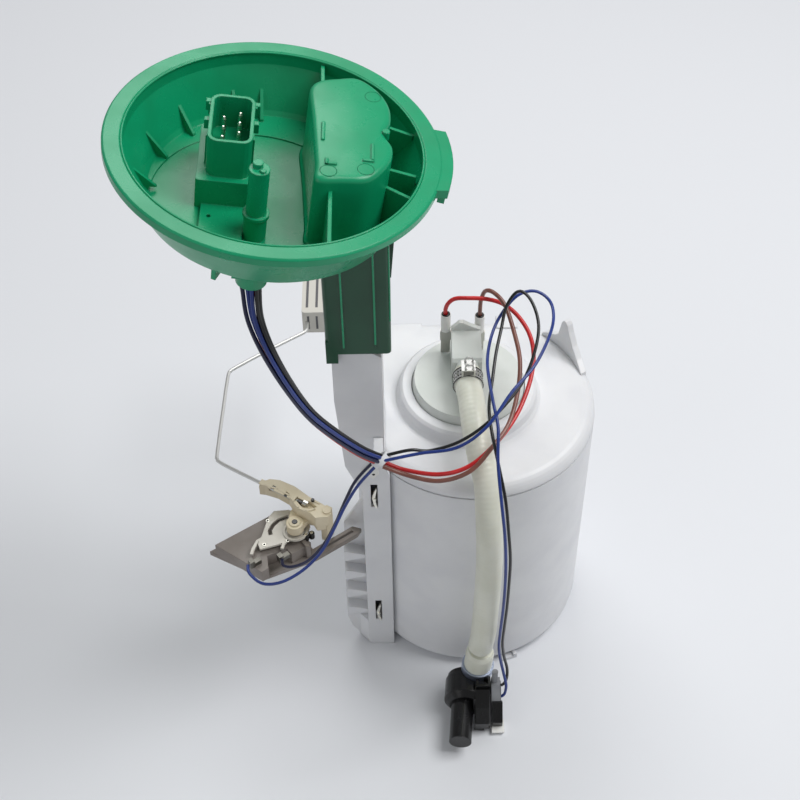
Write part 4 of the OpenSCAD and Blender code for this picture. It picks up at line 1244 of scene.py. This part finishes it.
@dataclass
class PumpTrim(Trim):
    """Wire seals on the terminal sleeves, and the clamp's edges, loops and rows of holes, drawn as
    black dots of painted shade.
    """

    seal_places: tuple[Point, ...] = ((-14.6, 19.0, 198.3), (2.6, 20.4, 195.7))
    seal_radius: float = 1.62
    seal_wire: float = 0.62
    seal_flat: float = 0.9
    nipple: Point = (-4.5, -12.0, 182.0)
    band: float = 7.42
    edge_shifts: Plan = (-3.3, 3.3)
    edge_wire: float = 0.28
    edge_sides: int = 40
    loop_shifts: Plan = (-2.6, 2.4)
    loop_aside: float = 0.4
    loop_rise: float = 5.0
    loop_radius: float = 2.0
    loop_wire: float = 0.5
    sides: int = 24
    holes: int = 30
    hole_sides: int = 10
    hole_depth: float = 0.2
    hole_radius: float = 0.42
    row_gap: float = 1.3

    def build(self) -> None:
        """Make the seals, the edges, the loops and the holes' black dots of painted shade."""
        seals = Shaper()
        for place in self.seal_places:
            seals.ring(place, UP, self.seal_radius, self.seal_wire, self.sides, self.seal_flat)
        self.piece(seals, "wire_seals", Body.POT, "valve_rubber", "black", True)
        x, y, z = self.nipple
        edges = Shaper()
        for shift in self.edge_shifts:
            edges.ring((x, y + shift, z), ALONG_NIPPLE, self.band, self.edge_wire, self.edge_sides)
        self.piece(edges, "clamp_edges", Body.POT, "black_plastic", "black", True)
        loops = Shaper()
        for shift in self.loop_shifts:
            loops.ring((x + self.loop_aside, y + shift, z + self.band + self.loop_rise),
                       ALONG_NIPPLE, self.loop_radius, self.loop_wire, self.sides)
        self.piece(loops, "clamp_loops", Body.POT, "clamp_steel", "clamp", True)
        # Painted shade: each of the clamp's holes is a black disc laid on the band
        rows = HoleRows(self.hole_sides, self.hole_depth)
        made = rows.grow("clamp_hole_shade", bpy.data.meshes.new("no_points"), {
            "Band radius": (self.band + 0.01) * MM, "Hole radius": self.hole_radius * MM,
            "Row gap": self.row_gap * MM, "Holes": self.holes,
            "Finish": self.finishes.get("black"),
        })
        made.data.transform(Matrix.Translation(Vector(self.nipple) * MM)
                            @ Matrix.Rotation(math.pi / 2, 4, "X"))
        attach(made, Body.POT.value)


@dataclass
class FlangeTrim(Trim):
    """Raised ribs on the darker sleeve, whose lighter green is a painted highlight, a painted
    highlight down its corner, the connector's four guide tabs and the rim's inner lip.
    """

    ribs: tuple[tuple[float, float, float], ...] = ((-63.1, 247.0, 309.0), (-48.9, 249.0, 307.5))
    rib_half_wide: float = 0.45
    rib_depth: Plan = (-50.45, -50.1)
    # A painted highlight: a lighter green strip down the sleeve's right corner
    corner: tuple[Plan, ...] = ((-42.5, -48.9), (-42.0, -49.0), (-41.75, -48.4), (-42.1, -48.0))
    socket_x: float = -18.1
    tab_reach: Plan = (8.9, 11.2)
    tab_places: tuple[Plan, ...] = ((15.0, 5.9), (4.4, 4.6))
    tab_length: float = 2.6
    tab_height: float = 4.4
    lip_radius: float = 62.0
    lip_height: float = -0.35
    lip_wire: float = 0.5
    lip_sides: int = 144

    def build(self) -> None:
        """Make the strips, the tabs and the lip."""
        # Painted highlights: the strips are lighter green than the darker sleeve they stand on
        strips = Shaper()
        front, back = self.rib_depth
        for x, low, high in self.ribs:
            left, right = x - self.rib_half_wide, x + self.rib_half_wide
            strips.prism([(left, front), (right, front), (right, back), (left, back)], low, high)
        strips.prism(self.corner, 262.0, 306.0)
        self.piece(strips, "sleeve_edge_highlights", Body.FLANGE, "green_plastic", "green")
        tabs = Shaper(flange_turn())
        for side in (-1, 1):
            near, far = (self.socket_x + side * reach for reach in self.tab_reach)
            for y, top in self.tab_places:
                end = y + self.tab_length
                outline = [(near, y), (far, y), (far, end), (near, end)][::side]
                tabs.prism(outline, top - self.tab_height, top)
        self.piece(tabs, "connector_tabs", Body.FLANGE, "green_plastic", "green")
        lip = Shaper(flange_turn())
        lip.ring((0, 0, self.lip_height), UP, self.lip_radius, self.lip_wire, self.lip_sides)
        self.piece(lip, "rim_lip", Body.FLANGE, "green_plastic", "green", True)


@dataclass
class ColumnTrim(Trim):
    """Bright spring clips in the strip's windows, and the cable tie's foot with painted shade in
    its hole.
    """

    face: float = -47.25
    clip: tuple[Plan, ...] = (
        (-51.3, 142.4), (-52.7, 138.4), (-53.5, 134.6), (-52.7, 129.6), (-51.4, 126.0),
        (-50.9, 126.6), (-51.5, 131.0), (-51.7, 135.6), (-50.9, 141.6),
    )
    clip_button: Plan = (-52.0, 134.0)
    lower_clip: float = -102.4
    foot: tuple[Plan, ...] = ((-58.1, 156.6), (-56.4, 153.6), (-52.2, 151.0), (-49.6, 154.4),
                              (-50.0, 162.0), (-52.6, 163.4), (-55.0, 160.6))
    foot_hole: Plan = (-52.1, 154.6)

    def build(self) -> None:
        """Make the two clips, the foot and the painted shade in its hole, on the strip's front."""
        turn = Matrix.Translation((0, self.face, 0)) @ Matrix.Rotation(math.pi / 2, 4, "X")
        clips, foot, hole = Shaper(turn), Shaper(turn), Shaper(turn)
        for lift in (0.0, self.lower_clip):
            clips.prism([(x, z + lift) for x, z in self.clip], -0.7, 0.75, 0.3)
            x, z = self.clip_button
            clips.discs(0, [((x, z + lift), 0.8, 0.4, 1.3, 14)])
        self.piece(clips, "strip_clips", Body.POT, "spring_steel", "pin")
        foot.prism(self.foot, 0.02, 1.3, 0.3)
        self.piece(foot, "tie_foot", Body.POT, "sleeve_plastic", "bright_white")
        # Painted shade: a black dot in the foot's hole
        hole.discs(0, [(self.foot_hole, 0.75, 1.2, 1.42, 16)])
        self.piece(hole, "tie_hole_shade", Body.POT, "black_plastic", "black")


@dataclass
class FloatTrim(Trim):
    """Painted shade in the grooves along the float's top and down its end: dark inlays that swing
    with it.
    """

    top: float = 136.4
    top_grooves: tuple[float, ...] = (-90.0, -84.6, -79.2)
    top_run: Plan = (88, 121)
    top_wide: float = 1.4
    end_grooves: tuple[float, ...] = (-89.4, -84.6)
    end_depth: Plan = (83.9, 84.6)
    end_drop: Plan = (13.0, 3.0)
    half_wide: float = 0.6

    def build(self) -> None:
        """Make the dark inlays of painted shade in the grooves."""
        grooves = Shaper()
        first, last = self.top_run
        grooves.bars(self.top, [((x, first), (x, last), self.top_wide, -1.0, 0.08)
                                for x in self.top_grooves])
        front, back = self.end_depth
        low, high = (self.top - drop for drop in self.end_drop)
        for x in self.end_grooves:
            left, right = x - self.half_wide, x + self.half_wide
            grooves.prism([(left, front), (right, front), (right, back), (left, back)], low, high)
        self.piece(grooves, "float_groove_shade", Body.ARM, "black_plastic", "rubber")


@dataclass
class SensorTrim(Trim):
    """The coupling sensor's lid, dark corner and pale foot, and the coupling's cheek beside it.

    Each outline is drawn from the side, and each depth is counted from the sensor's side.
    """

    side: float = 13.0
    lid: tuple[Plan, ...] = ((-102.0, 8.2), (-90.6, 22.8), (-87.2, 23.6), (-87.2, 5.2),
                             (-100.6, 4.2))
    cheek: tuple[Plan, ...] = ((-105.0, 3.4), (-105.6, 9.0), (-100.4, 17.6), (-93.0, 23.4),
                               (-87.4, 23.4), (-87.4, 5.6), (-98.4, 3.4))
    corner: tuple[Plan, ...] = ((-103.6, 2.0), (-104.6, 8.4), (-97.6, 17.8), (-95.6, 16.6),
                                (-101.6, 7.0))
    foot: tuple[Plan, ...] = ((-106.4, 0.3), (-107.2, 2.6), (-104.0, 3.4), (-99.4, 3.6),
                              (-99.4, 0.3))

    def build(self) -> None:
        """Make the lid, the cheek, the corner and the foot."""
        turn = Matrix.Translation((self.side, 0, 0)) @ Matrix(
            ((0, 0, 1, 0), (1, 0, 0, 0), (0, 1, 0, 0), (0, 0, 0, 1)))
        for outline, low, high, edge, name, slot, finish in (
            (self.lid, -0.05, 0.6, 0.4, "sensor_lid", "sensor_plastic", "grey"),
            (self.cheek, -13.6, -5.4, 0.8, "coupling_cheek", "black_plastic", "black"),
            (self.corner, -4.4, 1.2, 0.3, "sensor_corner", "black_plastic", "black"),
            (self.foot, -4.6, 2.2, 0.4, "sensor_foot", "sleeve_plastic", "bright_white"),
        ):
            shape = Shaper(turn)
            shape.prism(outline, low, high, edge)
            self.piece(shape, name, Body.POT, slot, finish)


# The camera and the studio


@dataclass
class PhotoCamera:
    """The camera of the photograph: looking down on the module from the front."""

    place: Point = (-38.4, -515.2, 731.5)
    down: float = 48.2
    roll: float = 1.0
    lens: float = 67.5
    film: float = 36.0
    sight: float = 20.0

    def build(self) -> None:
        """Make the camera and set it as the scene's own."""
        tilt, turn = math.radians(self.down), math.radians(self.roll)
        forward = Vector((0, math.cos(tilt), -math.sin(tilt)))
        below = Vector((0, -math.sin(tilt), -math.cos(tilt)))
        right = math.cos(turn) * Vector((1, 0, 0)) + math.sin(turn) * below
        above = right.cross(forward)
        data = bpy.data.cameras.new("photo_camera")
        data.lens = self.lens
        data.sensor_width = self.film
        data.clip_end = self.sight
        made = placed("photo_camera", data)
        made.matrix_world = Matrix.Translation(Vector(self.place) * MM) @ Matrix(
            (right, above, -forward)).transposed().to_4x4()
        bpy.context.scene.camera = made


@dataclass(frozen=True)
class Lamp:
    """One square lamp: where it hangs, what it points at, the length of its side, its power."""

    name: str
    place: Point
    target: Point
    size: float
    watts: float

    def build(self) -> None:
        """Hang the lamp."""
        data = bpy.data.lights.new(self.name, "AREA")
        data.size = self.size * MM
        data.energy = self.watts
        made = placed(self.name, data)
        made.location = Vector(self.place) * MM
        made.rotation_mode = "QUATERNION"
        aim = Vector(self.target) - Vector(self.place)
        made.rotation_quaternion = aim.to_track_quat("-Z", "Y")


@dataclass
class Studio:
    """A pale floor, a soft sky and three broad lamps."""

    lamps: tuple[Lamp, ...] = (
        Lamp("key", (760, 20, 1450), (-20, 0, 160), 800, 15.8),
        Lamp("fill", (-760, -620, 620), (-40, 0, 180), 700, 1.2),
        Lamp("rim", (-200, 760, 1200), (-40, 0, 200), 700, 5.0),
    )
    floor_size: float = 12000.0
    floor_colour: Colour = field(default_factory=lambda: from_screen(226, 228, 232))
    floor_paler: float = 1.02
    floor_specks: float = 6.0
    floor_roughness: float = 0.75
    sky_colour: Colour = (0.985, 0.99, 1.0)
    sky_strength: float = 0.29

    def build(self) -> None:
        """Make the floor, the lamps and the world."""
        self._floor()
        for lamp in self.lamps:
            lamp.build()
        world = bpy.data.worlds.new("studio_sky")
        bpy.context.scene.world = world
        world.use_nodes = True
        back = world.node_tree.nodes["Background"]
        back.inputs["Color"].default_value = (*self.sky_colour, 1.0)
        back.inputs["Strength"].default_value = self.sky_strength
        bpy.context.scene.view_settings.view_transform = "Standard"

    def _floor(self) -> None:
        """Lay the pale floor that the module stands on."""
        bm = bmesh.new()
        bmesh.ops.create_grid(bm, x_segments=2, y_segments=2, size=self.floor_size / 2)
        made = bpy.data.materials.new("studio_floor")
        made.use_nodes = True
        sheet = NodeSheet(made.node_tree)
        shader = made.node_tree.nodes["Principled BSDF"]
        speck = sheet.add("ShaderNodeTexNoise")
        speck.inputs["Scale"].default_value = self.floor_specks
        pale = tuple(c * self.floor_paler for c in self.floor_colour)
        tone = sheet.mix(speck.outputs["Fac"], self.floor_colour, pale)
        sheet.link(tone, shader.inputs["Base Color"])
        shader.inputs["Roughness"].default_value = self.floor_roughness
        new_piece("studio_floor", bm, made, smooth=False)


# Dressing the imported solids

NODES_BY_FINISH: dict[str, tuple[str, ...]] = {
    "green": ("flange_bowl", "spring_housing", "connector_shroud", "vent_post", "wire_grommet"),
    # Painted shade: the sleeve takes the darker copy of the flange's green
    "shaded_green": ("guide_sleeve",),
    "white": ("guide_post", "swirl_pot", "pot_cover", "cable_tie"),
    "cap": ("pump_cap", "pump_head", "pump_inlet", "inlet_strainer"),
    "bright_white": ("terminal_sleeves",),
    "hose": ("fuel_hose", "hose_cuff"),
    "beige": ("sender_lever",),
    "tray": ("sender_tray",),
    "card": ("sender_card",),
    "black": ("pump_impeller", "jet_nozzle", "coupling_body", "coupling_latch"),
    "grey": ("pump_mount", "coupling_sensor"),
    "foam": ("sender_float",),
    "rubber": ("check_valve",),
    "steel": ("return_spring", "pump_can", "pump_shaft", "pivot_pin", "float_wire"),
    "clamp": ("hose_clamp",),
    "tin": ("terminal_blades",),
    "pin": ("connector_pins",),
    # Painted shade: a darkened copy of the tinned metal
    "shaded_tin": ("sender_contacts",),
    "ring": ("hose_ring",),
    "copper": ("pump_armature",),
    "ferrite": ("pump_magnets",),
    "wire_red": ("wire_red",),
    "wire_brown": ("wire_brown",),
    "wire_black": ("wire_black",),
    "wire_blue": ("wire_blue", "sender_wire_near"),
    "wire_navy": ("wire_bundle", "sender_wire_far"),
}


def dress_solids(finishes: Finishes) -> None:
    """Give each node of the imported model, which keeps its shape, its finish.

    Args:
        finishes: The table of finishes.
    """
    for finish, names in NODES_BY_FINISH.items():
        for name in names:
            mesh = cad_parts[name].data
            mesh.materials.clear()
            mesh.materials.append(finishes.get(finish))
            for polygon in mesh.polygons:
                polygon.material_index = 0
            LOG.info("dressed %s", name)


def main() -> None:
    """Build the scene in order."""
    logging.basicConfig(level=logging.INFO, format="%(name)s: %(message)s")
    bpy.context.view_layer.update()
    PhotoCamera().build()
    finishes = Finishes()
    Studio().build()
    sweep = CordSweep()
    for swept in (*CORDS, Bundle(), ReturnSpring()):
        swept.build(sweep, finishes)
        LOG.info("built %s", getattr(swept, "name", type(swept).__name__))
    for kind in (HousingShell, LeverTrim, SenderTrim, PumpTrim, FlangeTrim, ColumnTrim, FloatTrim,
                 SensorTrim):
        kind(finishes).build()
        LOG.info("built %s", kind.__name__)
    dress_solids(finishes)


if __name__ == "__main__":
    main()
